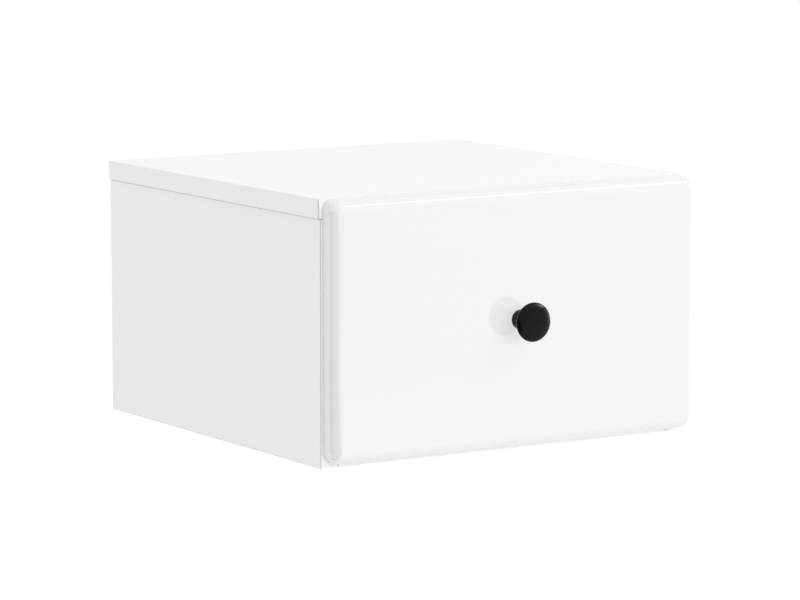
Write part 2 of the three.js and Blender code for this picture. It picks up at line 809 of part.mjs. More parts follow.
/** Both runners of one side, with their rollers, axles and screws. */
function runnerSet(side, sign) {
  const group = new THREE.Group();
  const middle = (rollerNear + rollerFar) / 2;
  const wheels = [
    { on: 'cabinet', web: seam, shoulder: rollerNear - seam, way: -sign, y: frontRollerY, z: frontRollerZ },
    { on: 'drawer', web: webFar, shoulder: webFar - rollerFar, way: sign, y: rearRollerY, z: rearRollerZ },
  ];
  group.add(cabinetRunner(side, sign), drawerRunner(side, sign));
  for (const { on, web, shoulder, way, y, z } of wheels) {
    const rollerFrame = frameAt([sign * (sideInner - middle), y, z], [-sign, 0, 0], [0, 0, 1]);
    const axleFrame = frameAt([sign * (sideInner - web), y, z], [way, 0, 0], [0, 0, 1]);
    const axle = rollerAxle(shoulder - sideClear);
    group.add(piece(`${on}_roller_${side}`, roller(), finishes.nylon, rollerFrame));
    group.add(piece(`${on}_roller_axle_${side}`, axle, finishes.steel, axleFrame));
  }
  screwFrames.runner(sign).forEach((frame, i) => {
    const name = `cabinet_runner_screw_${side}_${['front', 'rear'][i]}`;
    group.add(piece(name, flatScrew(runnerScrew), finishes.steel, frame));
  });
  for (const frame of screwFrames.rail(sign)) {
    group.add(piece(`drawer_runner_screw_${side}`, flatScrew(railScrew), finishes.steel, frame));
  }
  return group;
}

const nightstand = new THREE.Group();
nightstand.name = 'floating_nightstand';
nightstand.add(carcass(), drawer());
for (const [side, sign] of Object.entries(sides)) {
  nightstand.add(runnerSet(side, sign));
}
nightstand.position.z = -wallScrewHeight;

export default nightstand;
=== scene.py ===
"""A wall-hung nightstand with one drawer: its fine pieces, finishes, camera and studio.

White boards and a gloss front stand round a drawer on roller runners, and the drawer opens by a black
mushroom knob. Sizes are in metres. The wall is at Y zero, the drawer opens along -Y and Z is up.
"""

import json
import logging
import math
from abc import ABC, abstractmethod
from collections.abc import Iterable, Sequence
from dataclasses import dataclass, field
from enum import Enum
from functools import lru_cache

import bmesh
import bpy
from mathutils import Matrix, Vector

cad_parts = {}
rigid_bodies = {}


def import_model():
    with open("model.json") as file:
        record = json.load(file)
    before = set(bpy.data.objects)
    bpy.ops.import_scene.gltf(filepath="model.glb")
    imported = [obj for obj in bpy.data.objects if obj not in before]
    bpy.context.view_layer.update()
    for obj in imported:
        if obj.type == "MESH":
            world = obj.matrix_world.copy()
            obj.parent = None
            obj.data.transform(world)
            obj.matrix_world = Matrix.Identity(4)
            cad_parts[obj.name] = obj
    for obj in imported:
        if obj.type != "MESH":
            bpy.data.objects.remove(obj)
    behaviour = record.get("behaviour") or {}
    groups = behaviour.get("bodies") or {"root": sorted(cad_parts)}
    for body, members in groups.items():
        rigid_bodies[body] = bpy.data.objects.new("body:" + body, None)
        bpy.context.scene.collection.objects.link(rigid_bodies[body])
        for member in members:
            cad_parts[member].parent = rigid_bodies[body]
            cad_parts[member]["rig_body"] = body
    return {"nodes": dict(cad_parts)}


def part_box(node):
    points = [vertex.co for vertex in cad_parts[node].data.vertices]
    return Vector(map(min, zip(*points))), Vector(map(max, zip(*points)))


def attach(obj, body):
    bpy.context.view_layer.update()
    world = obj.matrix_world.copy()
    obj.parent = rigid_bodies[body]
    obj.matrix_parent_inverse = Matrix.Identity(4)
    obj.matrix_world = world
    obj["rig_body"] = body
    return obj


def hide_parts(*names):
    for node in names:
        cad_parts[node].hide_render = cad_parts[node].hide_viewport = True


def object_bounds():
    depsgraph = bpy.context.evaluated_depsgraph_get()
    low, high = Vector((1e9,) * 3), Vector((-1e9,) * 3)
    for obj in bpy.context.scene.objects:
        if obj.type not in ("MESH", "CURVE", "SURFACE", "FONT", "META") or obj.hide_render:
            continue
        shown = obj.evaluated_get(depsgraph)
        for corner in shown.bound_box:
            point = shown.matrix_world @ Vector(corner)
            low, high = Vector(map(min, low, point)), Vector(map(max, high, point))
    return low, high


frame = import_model()
cad_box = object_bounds()

log = logging.getLogger("nightstand")

MM = 0.001
QUARTER_TURN = math.pi / 2
FULL_TURN = 2 * math.pi

# Past the face that it cuts, a tool runs on by this much.
OVERRUN = 1 * MM

ACROSS = Vector((1, 0, 0))
REAR = Vector((0, 1, 0))
UP = Vector((0, 0, 1))

Point = tuple[float, float]
Span = tuple[float, float]
Colour = tuple[float, float, float]
Shape = bmesh.types.BMesh
Piece = bpy.types.Object
Socket = bpy.types.NodeSocket


class Side(Enum):
    """A side of the nightstand, seen from the front."""

    LEFT = -1
    RIGHT = 1

    @property
    def label(self) -> str:
        """The side's name in the names of nodes."""
        return self.name.lower()

    @property
    def outward(self) -> Vector:
        """The direction from the middle to this side."""
        return ACROSS * self.value


# Shapes


def eased(points: Sequence[Point], radii: Sequence[float], steps: int = 4, closed: bool = True) -> list[Point]:
    """A path with its corners rounded off.

    Args:
        points: The corners in order.
        radii: The rounding at each corner, zero for a sharp one.
        steps: Facets in each rounding.
        closed: Whether the path runs back to its first point.

    Returns:
        The points of the rounded path.
    """
    path: list[Point] = []
    last = len(points) - 1
    for i, (point, radius) in enumerate(zip(points, radii)):
        here = Vector(point)
        if radius <= 0 or (not closed and i in (0, last)):
            path.append(point)
            continue
        back = (Vector(points[i - 1]) - here).normalized()
        ahead = (Vector(points[(i + 1) % len(points)]) - here).normalized()
        half = back.angle(ahead) / 2
        centre = here + (back + ahead).normalized() * (radius / math.sin(half))
        start = here + back * (radius / math.tan(half)) - centre
        end = here + ahead * (radius / math.tan(half)) - centre
        path += [tuple(centre + start.slerp(end, step / steps) * radius) for step in range(steps + 1)]
    return path


def arc(centre: Point, radii: Span, start: float, end: float, steps: int) -> list[Point]:
    """Points on an ellipse from one angle to another.

    Args:
        centre: The middle of the ellipse.
        radii: Its two half axes.
        start: The first angle, in radians.
        end: The last angle, in radians.
        steps: Facets along the arc.

    Returns:
        The points, both ends among them.
    """
    turns = [start + (end - start) * step / steps for step in range(steps + 1)]
    return [(centre[0] + radii[0] * math.cos(turn), centre[1] + radii[1] * math.sin(turn)) for turn in turns]


def rectangle(low: Point, high: Point) -> list[Point]:
    """The corners of a rectangle in order, from its lowest corner on."""
    return [low, (high[0], low[1]), high, (low[0], high[1])]


@dataclass(frozen=True)
class Thread:
    """A screw thread on a turned piece, cut into its radius."""

    start: float
    end: float
    depth: float
    pitch: float
    steps: int = 6

    def spread(self, profile: Sequence[Point]) -> list[Point]:
        """The profile with rings close enough along the thread.

        Args:
            profile: Points of radius and height.

        Returns:
            The profile with more points between the thread's ends.
        """
        rings = [profile[0]]
        for (radius, height), (next_radius, next_height) in zip(profile, profile[1:]):
            covered = min(height, next_height) < self.end and max(height, next_height) > self.start
            reach = abs(next_height - height)
            count = max(1, round(reach / self.pitch * self.steps)) if covered else 1
            rings += [
                (radius + (next_radius - radius) * i / count, height + (next_height - height) * i / count)
                for i in range(1, count + 1)
            ]
        return rings

    def groove(self, angle: float, height: float) -> float:
        """How deep the thread is cut at a place.

        Args:
            angle: The angle round the axis, in radians.
            height: The height along the axis.

        Returns:
            The depth under the crest.
        """
        if not self.start < height < self.end:
            return 0.0
        phase = (height / self.pitch - angle / FULL_TURN) % 1
        fade = min(1.0, (height - self.start) / self.pitch, (self.end - height) / self.pitch)
        return self.depth * fade * abs(2 * phase - 1)


def skin(shape: Shape, rings: Sequence[Sequence[bmesh.types.BMVert]], looped: bool) -> None:
    """Join rings of vertices with faces, where a ring may be one vertex over and over.

    Args:
        shape: The mesh that the rings belong to.
        rings: The rings, each with as many vertices.
        looped: Whether the last ring joins the first.
    """
    after = [*rings[1:], rings[0]] if looped else rings[1:]
    for lower, upper in zip(rings, after):
        for i in range(len(lower)):
            j = (i + 1) % len(lower)
            corners = list(dict.fromkeys((lower[i], lower[j], upper[j], upper[i])))
            if len(corners) > 2:
                shape.faces.new(corners)


def turned(profile: Sequence[Point], sides: int, looped: bool = False, thread: Thread | None = None) -> Shape:
    """A piece turned round the Z axis.

    Args:
        profile: Points of radius and height.
        sides: Facets round the axis.
        looped: Whether the profile closes on itself, as round a bore.
        thread: The thread cut into it, if it has one.

    Returns:
        The turned mesh.
    """
    shape = bmesh.new()
    rings = []
    for radius, height in thread.spread(profile) if thread else profile:
        if radius <= 0:
            rings.append([shape.verts.new((0, 0, height))] * sides)
            continue
        ring = []
        for i in range(sides):
            angle = FULL_TURN * i / sides
            out = radius - (thread.groove(angle, height) if thread else 0)
            ring.append(shape.verts.new((out * math.cos(angle), out * math.sin(angle), height)))
        rings.append(ring)
    skin(shape, rings, looped)
    return shape


def lofted(rings: Sequence[Sequence[Vector]]) -> Shape:
    """A closed skin over rings of points, with a flat face at each end.

    Args:
        rings: The rings in order, each with as many points.

    Returns:
        The lofted mesh.
    """
    shape = bmesh.new()
    corners = [[shape.verts.new(point) for point in ring] for ring in rings]
    skin(shape, corners, looped=False)
    shape.faces.new(reversed(corners[0]))
    shape.faces.new(corners[-1])
    return shape


def drawn_out(outline: Sequence[Point], front: float, rear: float) -> Shape:
    """An outline in X and Z drawn out along Y.

    Args:
        outline: The outline's points.
        front: The Y of one end.
        rear: The Y of the other end.

    Returns:
        The drawn mesh.
    """
    return lofted([[Vector((x, y, z)) for x, z in outline] for y in (front, rear)])


def block(low: Sequence[float], high: Sequence[float]) -> Shape:
    """A tool with square edges between two corners.

    Args:
        low: The lowest corner.
        high: The highest corner.

    Returns:
        The tool's mesh.
    """
    return drawn_out(rectangle((low[0], low[2]), (high[0], high[2])), low[1], high[1])


def bore(radius: float, start: float, end: float, sides: int = 32) -> Shape:
    """A round tool along Z.

    Args:
        radius: Its radius.
        start: Its lowest height.
        end: Its highest height.
        sides: Facets round it.

    Returns:
        The tool's mesh.
    """
    return turned([(0, start), (radius, start), (radius, end), (0, end)], sides)


def set_down(shape: Shape, place: Matrix) -> Shape:
    """The shape moved to a place."""
    bmesh.ops.transform(shape, matrix=place, verts=shape.verts)
    return shape


def frame_at(origin: Vector, along: Vector, toward: Vector) -> Matrix:
    """The frame at a place.

    Args:
        origin: The frame's origin.
        along: The direction of its Z.
        toward: The direction of its X.

    Returns:
        The frame's matrix.
    """
    axes = Matrix((toward, along.cross(toward), along)).transposed()
    return Matrix.Translation(origin) @ axes.to_4x4()


def as_mesh(name: str, shape: Shape) -> bpy.types.Mesh:
    """The shape as a mesh with its faces pointing out.

    Args:
        name: The mesh's name.
        shape: The shape, which is used up.

    Returns:
        The mesh.
    """
    bmesh.ops.recalc_face_normals(shape, faces=shape.faces)
    mesh = bpy.data.meshes.new(name)
    shape.to_mesh(mesh)
    shape.free()
    return mesh


def worked(name: str, body: Shape, cuts: Iterable[Shape], welds: Iterable[Shape] = ()) -> bpy.types.Mesh:
    """A body with pieces welded on and then tools cut out of it.

    Args:
        name: The mesh's name.
        body: The body.
        cuts: The tools.
        welds: The pieces that are welded on.

    Returns:
        The worked mesh.
    """
    work = [(shape, "UNION") for shape in welds] + [(shape, "DIFFERENCE") for shape in cuts]
    target = bpy.data.objects.new(name, as_mesh(name, body))
    used = [target]
    for shape, operation in work:
        tool = bpy.data.objects.new("tool", as_mesh("tool", shape))
        used.append(tool)
        step = target.modifiers.new("step", "BOOLEAN")
        step.operation = operation
        step.solver = "EXACT"
        step.object = tool
    for item in used:
        bpy.context.scene.collection.objects.link(item)
    mesh = bpy.data.meshes.new_from_object(target.evaluated_get(bpy.context.evaluated_depsgraph_get()))
    for item in used:
        bpy.data.objects.remove(item)
    mesh.name = name
    return mesh


# Finishes


class Slot(Enum):
    """The part's finishes, by the names that its record gives them."""

    BOARD = "white_board"
    FRONT = "gloss_white_front"
    HARDBOARD = "white_hardboard"
    ENAMEL = "white_enamelled_steel"
    NYLON = "nylon"
    STEEL = "steel_fasteners"
    ZINC = "zinc_cams"
    KNOB = "black_knob"


# The colour sockets of a Mix node, which has others of the same names for plain values.
MIX_FIRST, MIX_SECOND, MIX_RESULT = 6, 7, 2


class Mixer:
    """A material being mixed: its node tree, and short ways to add to it."""

    def __init__(self, name: str) -> None:
        """Start a material with one principled shader.

        Args:
            name: The material's name.
        """
        self.material = bpy.data.materials.new(name)
        self.material.use_nodes = True
        self.tree = self.material.node_tree
        self.tree.nodes.clear()
        self.shader = self.tree.nodes.new("ShaderNodeBsdfPrincipled")
        output = self.tree.nodes.new("ShaderNodeOutputMaterial")
        self.tree.links.new(self.shader.outputs["BSDF"], output.inputs["Surface"])
        self.place = self.tree.nodes.new("ShaderNodeTexCoord").outputs["Object"]

    def set(self, **values: float | Colour) -> None:
        """Set sockets of the shader that are the same all over the surface.

        Args:
            **values: Values by socket name, with underscores for spaces.
        """
        for name, value in values.items():
            socket = self.shader.inputs[name.replace("_", " ")]
            socket.default_value = (*value, 1) if isinstance(value, tuple) else value

    def stretched(self, scale: Sequence[float]) -> Socket:
        """Object coordinates scaled along each axis.

        Args:
            scale: The scale along X, Y and Z.

        Returns:
            The scaled coordinates.
        """
        mapping = self.tree.nodes.new("ShaderNodeMapping")
        mapping.inputs["Scale"].default_value = scale
        self.tree.links.new(self.place, mapping.inputs["Vector"])
        return mapping.outputs["Vector"]

    def noise(self, size: float, detail: float = 2, stretch: Sequence[float] = (1, 1, 1)) -> Socket:
        """Soft noise.

        Args:
            size: The size of its features.
            detail: How many finer layers it has.
            stretch: How much closer it lies along each axis.

        Returns:
            The noise, from zero to one.
        """
        node = self.tree.nodes.new("ShaderNodeTexNoise")
        node.inputs["Scale"].default_value = 1 / size
        node.inputs["Detail"].default_value = detail
        self.tree.links.new(self.stretched(stretch), node.inputs["Vector"])
        return node.outputs["Fac"]

    def cells(self, size: float) -> Socket:
        """The distance to the nearest of scattered points.

        Args:
            size: The points' spacing.

        Returns:
            The distance, as a share of the spacing.
        """
        node = self.tree.nodes.new("ShaderNodeTexVoronoi")
        node.inputs["Scale"].default_value = 1 / size
        self.tree.links.new(self.place, node.inputs["Vector"])
        return node.outputs["Distance"]

    def roundings(self, pairs: Sequence[tuple[int, int]], span: Span) -> Socket:
        """One on rounded edges that face between two axes, and zero on the faces.

        Args:
            pairs: The pairs of axes.
            span: How far a normal leans both ways where a rounding starts, and where it counts whole.

        Returns:
            The value, from zero to one.
        """
        facing = self.tree.nodes.new("ShaderNodeSeparateXYZ")
        self.tree.links.new(self.tree.nodes.new("ShaderNodeNewGeometry").outputs["True Normal"], facing.inputs[0])
        total = None
        for first, second in pairs:
            slant = self.sum_up("ABSOLUTE", self.sum_up("MULTIPLY", facing.outputs[first], facing.outputs[second]))
            total = self.sum_up("ADD", total, slant) if total else slant
        return self.spread(total, 0, 1, span)

    def sum_up(self, operation: str, *values: Socket) -> Socket:
        """Values combined by one sum.

        Args:
            operation: The sum.
            *values: The values.

        Returns:
            The result.
        """
        node = self.tree.nodes.new("ShaderNodeMath")
        node.operation = operation
        for socket, value in zip(node.inputs, values):
            self.tree.links.new(value, socket)
        return node.outputs["Value"]

    def spread(self, value: Socket, low: float, high: float, span: Span = (0.3, 0.7)) -> Socket:
        """A value stretched over a range.

        Args:
            value: The value.
            low: What the lower end of the span becomes.
            high: What the upper end of the span becomes.
            span: The part of the value that is used.

        Returns:
            The stretched value.
        """
        node = self.tree.nodes.new("ShaderNodeMapRange")
        node.inputs["From Min"].default_value = span[0]
        node.inputs["From Max"].default_value = span[1]
        node.inputs["To Min"].default_value = low
        node.inputs["To Max"].default_value = high
        self.tree.links.new(value, node.inputs["Value"])
        return node.outputs["Result"]

    def blend(self, share: Socket, first: Colour | Socket, second: Colour) -> Socket:
        """A colour between two.

        Args:
            share: How much of the second it has.
            first: The first colour, or a blend made before.
            second: The second colour.

        Returns:
            The blended colour.
        """
        node = self.tree.nodes.new("ShaderNodeMix")
        node.data_type = "RGBA"
        if isinstance(first, tuple):
            node.inputs[MIX_FIRST].default_value = (*first, 1)
        else:
            self.tree.links.new(first, node.inputs[MIX_FIRST])
        node.inputs[MIX_SECOND].default_value = (*second, 1)
        self.tree.links.new(share, node.inputs[0])
        return node.outputs[MIX_RESULT]

    def bump(self, *heights: tuple[Socket, float]) -> Socket:
        """A surface normal raised by heights on top of each other.

        Args:
            *heights: Each height and how far it stands proud.

        Returns:
            The raised normal.
        """
        normal = None
        for height, distance in heights:
            node = self.tree.nodes.new("ShaderNodeBump")
            node.inputs["Distance"].default_value = distance
            self.tree.links.new(height, node.inputs["Height"])
            if normal:
                self.tree.links.new(normal, node.inputs["Normal"])
            normal = node.outputs["Normal"]
        return normal

    def link(self, source: Socket, *sockets: str) -> None:
        """Link a value to sockets of the shader.

        Args:
            source: The value.
            *sockets: The names of the sockets.
        """
        for name in sockets:
            self.tree.links.new(source, self.shader.inputs[name])


class Finish(ABC):
    """A finish of the nightstand, from which its material is mixed."""

    slot: Slot

    @abstractmethod
    def mix(self) -> bpy.types.Material:
        """The finish's material."""


@lru_cache(maxsize=None)
def mixed(finish: Finish) -> bpy.types.Material:
    """The material of a finish, mixed once."""
    return finish.mix()


@dataclass(frozen=True)
class MelamineBoard(Finish):
    """White melamine on the boards: a silky face with a fine pearl, and grey on the rounded edges between chosen axes,
    partly the edge bands' glue line and partly painted shade.
    """

    slot: Slot = Slot.BOARD
    white: Colour = (0.868, 0.868, 0.862)
    shade: Colour = (0.852, 0.852, 0.845)
    # Grey on the rounded edges between these axes: partly the edge bands' glue line, partly painted shade where the
    # light falls off.
    joint: Colour = (0.57, 0.57, 0.565)
    joints_between: tuple[tuple[int, int], ...] = ((0, 1),)
    joint_span: Span = (0.05, 0.2)
    cloud: float = 90 * MM
    pearl: float = 0.9 * MM
    pearl_height: float = 0.012 * MM
    ripple: float = 6 * MM
    ripple_height: float = 0.03 * MM
    roughness: Span = (0.38, 0.47)

    def mix(self) -> bpy.types.Material:
        """Mix the board's material.

        Returns:
            The material.
        """
        mixer = Mixer(self.slot.value)
        faces = mixer.blend(mixer.noise(self.cloud), self.white, self.shade)
        # Darken the rounded edges between the chosen axes: partly glue line, partly painted shade.
        if self.joints_between:
            faces = mixer.blend(mixer.roundings(self.joints_between, self.joint_span), faces, self.joint)
        mixer.link(faces, "Base Color")
        mixer.link(mixer.spread(mixer.noise(self.ripple, detail=4), *self.roughness), "Roughness")
        heights = (
            (mixer.noise(self.ripple), self.ripple_height),
            (mixer.noise(self.pearl, detail=3), self.pearl_height),
        )
        mixer.link(mixer.bump(*heights), "Normal")
        return mixer.material


@dataclass(frozen=True)
class GlossLacquer(Finish):
    """White gloss lacquer on the drawer front: a clear coat with the faintest orange peel."""

    slot: Slot = Slot.FRONT
    white: Colour = (0.76, 0.76, 0.758)
    shade: Colour = (0.75, 0.75, 0.747)
    cloud: float = 120 * MM
    peel: float = 5 * MM
    peel_height: float = 0.003 * MM
    roughness: Span = (0.3, 0.36)
    coat_roughness: float = 0.03
    coat_ior: float = 1.68

    def mix(self) -> bpy.types.Material:
        """Mix the front's material.

        Returns:
            The material.
        """
        mixer = Mixer(self.slot.value)
        mixer.set(Coat_Weight=1.0, Coat_Roughness=self.coat_roughness, Coat_IOR=self.coat_ior, Specular_IOR_Level=0.0)
        mixer.link(mixer.blend(mixer.noise(self.cloud), self.white, self.shade), "Base Color")
        mixer.link(mixer.spread(mixer.noise(self.peel, detail=4), *self.roughness), "Roughness")
        mixer.link(mixer.bump((mixer.noise(self.peel, detail=1), self.peel_height)), "Normal", "Coat Normal")
        return mixer.material


@dataclass(frozen=True)
class Hardboard(Finish):
    """White-faced hardboard: felted fibres that show faintly through the paint."""

    slot: Slot = Slot.HARDBOARD
    white: Colour = (0.80, 0.79, 0.76)
    fibre: Colour = (0.72, 0.705, 0.66)
    fibre_size: float = 1.2 * MM
    fibre_height: float = 0.05 * MM
    fibre_span: Span = (0.5, 0.8)
    stretch: tuple[float, float, float] = (0.35, 1.0, 1.0)
    roughness: Span = (0.58, 0.75)

    def mix(self) -> bpy.types.Material:
        """Mix the hardboard's material.

        Returns:
            The material.
        """
        mixer = Mixer(self.slot.value)
        felt = mixer.noise(self.fibre_size, detail=5, stretch=self.stretch)
        mixer.link(mixer.blend(mixer.spread(felt, 0, 1, self.fibre_span), self.white, self.fibre), "Base Color")
        mixer.link(mixer.spread(felt, *self.roughness), "Roughness")
        mixer.link(mixer.bump((felt, self.fibre_height)), "Normal")
        return mixer.material


@dataclass(frozen=True)
class Enamel(Finish):
    """White stoving enamel on the runners' folded sheet."""

    slot: Slot = Slot.ENAMEL
    white: Colour = (0.80, 0.80, 0.79)
    shade: Colour = (0.76, 0.76, 0.75)
    cloud: float = 30 * MM
    sheen: float = 6 * MM
    peel: float = 0.8 * MM
    peel_height: float = 0.02 * MM
    roughness: Span = (0.28, 0.42)

    def mix(self) -> bpy.types.Material:
        """Mix the enamel's material.

        Returns:
            The material.
        """
        mixer = Mixer(self.slot.value)
        mixer.link(mixer.blend(mixer.noise(self.cloud, detail=4), self.white, self.shade), "Base Color")
        mixer.link(mixer.spread(mixer.noise(self.sheen, detail=3), *self.roughness), "Roughness")
        mixer.link(mixer.bump((mixer.noise(self.peel), self.peel_height)), "Normal")
        return mixer.material


@dataclass(frozen=True)
class MouldedNylon(Finish):
    """Natural nylon on the rollers, a little translucent."""

    slot: Slot = Slot.NYLON
    cream: Colour = (0.74, 0.72, 0.65)
    pale: Colour = (0.80, 0.78, 0.72)
    cloud: float = 4 * MM
    grain: float = 0.4 * MM
    grain_height: float = 0.01 * MM
    glow: float = 0.15
    glow_depth: float = 1 * MM
    roughness: Span = (0.36, 0.52)

    def mix(self) -> bpy.types.Material:
        """Mix the nylon's material.

        Returns:
            The material.
        """
        mixer = Mixer(self.slot.value)
        mixer.set(Subsurface_Weight=self.glow, Subsurface_Scale=self.glow_depth)
        mixer.link(mixer.blend(mixer.noise(self.cloud), self.cream, self.pale), "Base Color")
        mixer.link(mixer.spread(mixer.noise(self.grain, detail=3), *self.roughness), "Roughness")
        mixer.link(mixer.bump((mixer.noise(self.grain), self.grain_height)), "Normal")
        return mixer.material


@dataclass(frozen=True)
class Metal(Finish):
    """A bare metal with a mottled face: zinc-plated steel or die-cast zinc."""

    slot: Slot
    bright: Colour
    dull: Colour
    mottle: float
    grain: float
    grain_height: float
    roughness: Span

    def mix(self) -> bpy.types.Material:
        """Mix the metal's material.

        Returns:
            The material.
        """
        mixer = Mixer(self.slot.value)
        mixer.set(Metallic=1.0)
        mottle = mixer.spread(mixer.noise(self.mottle, detail=4), 0, 1)
        mixer.link(mixer.blend(mottle, self.bright, self.dull), "Base Color")
        mixer.link(mixer.spread(mixer.noise(self.mottle / 2, detail=3), *self.roughness), "Roughness")
        mixer.link(mixer.bump((mixer.noise(self.grain), self.grain_height)), "Normal")
        return mixer.material


@dataclass(frozen=True)
class BlackPaint(Finish):
    """Satin black paint on the knob, with the fine tooth of a powder coat."""

    slot: Slot = Slot.KNOB
    black: Colour = (0.0028, 0.0028, 0.003)
    worn: Colour = (0.0036, 0.0036, 0.0036)
    cloud: float = 5 * MM
    sheen: float = 1.05 * MM
    tooth: float = 0.35 * MM
    tooth_height: float = 0.008 * MM
    gleam: float = 0.12
    roughness: Span = (0.2, 0.27)

    def mix(self) -> bpy.types.Material:
        """Mix the knob's material.

        Returns:
            The material.
        """
        mixer = Mixer(self.slot.value)
        mixer.set(Specular_IOR_Level=self.gleam)
        mixer.link(mixer.blend(mixer.noise(self.cloud), self.black, self.worn), "Base Color")
        mixer.link(mixer.spread(mixer.noise(self.sheen, detail=3), *self.roughness), "Roughness")
        mixer.link(mixer.bump((mixer.cells(self.tooth), self.tooth_height)), "Normal")
        return mixer.material


BOARD = MelamineBoard()
# The side panels get the painted edge shade along two pairs of axes, the others along one or none.
BANDED_EDGE_SHADED_BOARD = MelamineBoard(joints_between=((0, 1), (0, 2)))
PLAIN_BOARD = MelamineBoard(joints_between=())
FRONT = GlossLacquer()
HARDBOARD = Hardboard()
ENAMEL = Enamel()
NYLON = MouldedNylon()
KNOB = BlackPaint()
STEEL = Metal(
    slot=Slot.STEEL,
    bright=(0.66, 0.68, 0.70),
    dull=(0.52, 0.54, 0.58),
    mottle=3 * MM,
    grain=0.3 * MM,
    grain_height=0.004 * MM,
    roughness=(0.22, 0.38),
)
ZINC = Metal(
    slot=Slot.ZINC,
    bright=(0.50, 0.51, 0.52),
    dull=(0.36, 0.37, 0.38),
    mottle=2 * MM,
    grain=0.25 * MM,
    grain_height=0.015 * MM,
    roughness=(0.38, 0.55),
)


# Pieces

# Edges sharper than this stay crisp.
CRISP_ANGLE = math.radians(32)
# How much more a flat counts in the shading than a rounding beside it.
FLAT_WEIGHT = 100
# Corners closer together than this are welded.
WELD_REACH = 0.001 * MM


def node_middle(node: str) -> Vector:
    """The middle of a node's box."""
    low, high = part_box(node)
    return (low + high) / 2


def node_end(node: str, way: Vector) -> Vector:
    """The middle of a node's box, moved to the face that a direction points to.

    Args:
        node: The node.
        way: A direction along X, Y or Z.

    Returns:
        The point on that face.
    """
    low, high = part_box(node)
    reach = sum(abs(way[i]) * (high[i] - low[i]) for i in range(3)) / 2
    return (low + high) / 2 + way * reach


def level_flats(piece: Piece, keep_sharp: bool) -> None:
    """Keep a piece's flats level beside its roundings.

    Args:
        piece: The piece.
        keep_sharp: Whether its edges that are marked sharp stay so.
    """
    level = piece.modifiers.new("level_flats", "WEIGHTED_NORMAL")
    level.keep_sharp = keep_sharp
    level.weight = FLAT_WEIGHT


def fit(name: str, mesh: bpy.types.Mesh, finish: Finish, node: str) -> Piece:
    """Fit a fine piece in the place of a node.

    Args:
        name: The piece's name.
        mesh: Its mesh, in place.
        finish: Its finish.
        node: The node that it stands for, whose body it rides on.

    Returns:
        The fitted piece.
    """
    piece = bpy.data.objects.new(name, mesh)
    bpy.context.scene.collection.objects.link(piece)
    piece.data.materials.clear()
    piece.data.materials.append(mixed(finish))
    piece.data.shade_smooth()
    piece.data.set_sharp_from_angle(angle=CRISP_ANGLE)
    level_flats(piece, keep_sharp=True)
    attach(piece, frame["nodes"][node]["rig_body"])
    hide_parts(node)
    return piece


def dress(node: str, finish: Finish) -> Piece:
    """Give a node that keeps its own shape its finish, with soft roundings and level flats.

    Args:
        node: The node.
        finish: Its finish.

    Returns:
        The node's object.
    """
    piece = frame["nodes"][node]
    for slot in piece.material_slots:
        slot.material = mixed(finish)
    piece.data.polygons.foreach_set("use_smooth", [True] * len(piece.data.polygons))
    weld = piece.modifiers.new("weld", "WELD")
    weld.merge_threshold = WELD_REACH
    crease = piece.modifiers.new("crisp_edges", "EDGE_SPLIT")
    crease.split_angle = CRISP_ANGLE
    level_flats(piece, keep_sharp=False)
    return piece


class Assembly(ABC):
    """A sub-assembly of the nightstand."""

    @abstractmethod
    def build(self) -> list[Piece]:
        """The finished pieces of the sub-assembly."""


@dataclass
class Carcass(Assembly):
    """The boards of the body and the thin back."""

    boards: dict[str, MelamineBoard] = field(
        default_factory=lambda: {
            "top_panel": BOARD,
            "side_panel_left": BANDED_EDGE_SHADED_BOARD,
            "side_panel_right": BANDED_EDGE_SHADED_BOARD,
            "bottom_panel": PLAIN_BOARD,
            "hanging_rail": PLAIN_BOARD,
        }
    )
    back: str = "back_panel"

    def build(self) -> list[Piece]:
        """The boards and the back in their finishes."""
        return [*(dress(node, board) for node, board in self.boards.items()), dress(self.back, HARDBOARD)]


@dataclass
class DrawerBox(Assembly):
    """The box behind the drawer front."""

    boards: tuple[str, ...] = ("drawer_side_left", "drawer_side_right", "drawer_back")
    bottom: str = "drawer_bottom"

    def build(self) -> list[Piece]:
        """The box's boards and bottom in their finishes."""
        return [*(dress(node, BOARD) for node in self.boards), dress(self.bottom, HARDBOARD)]


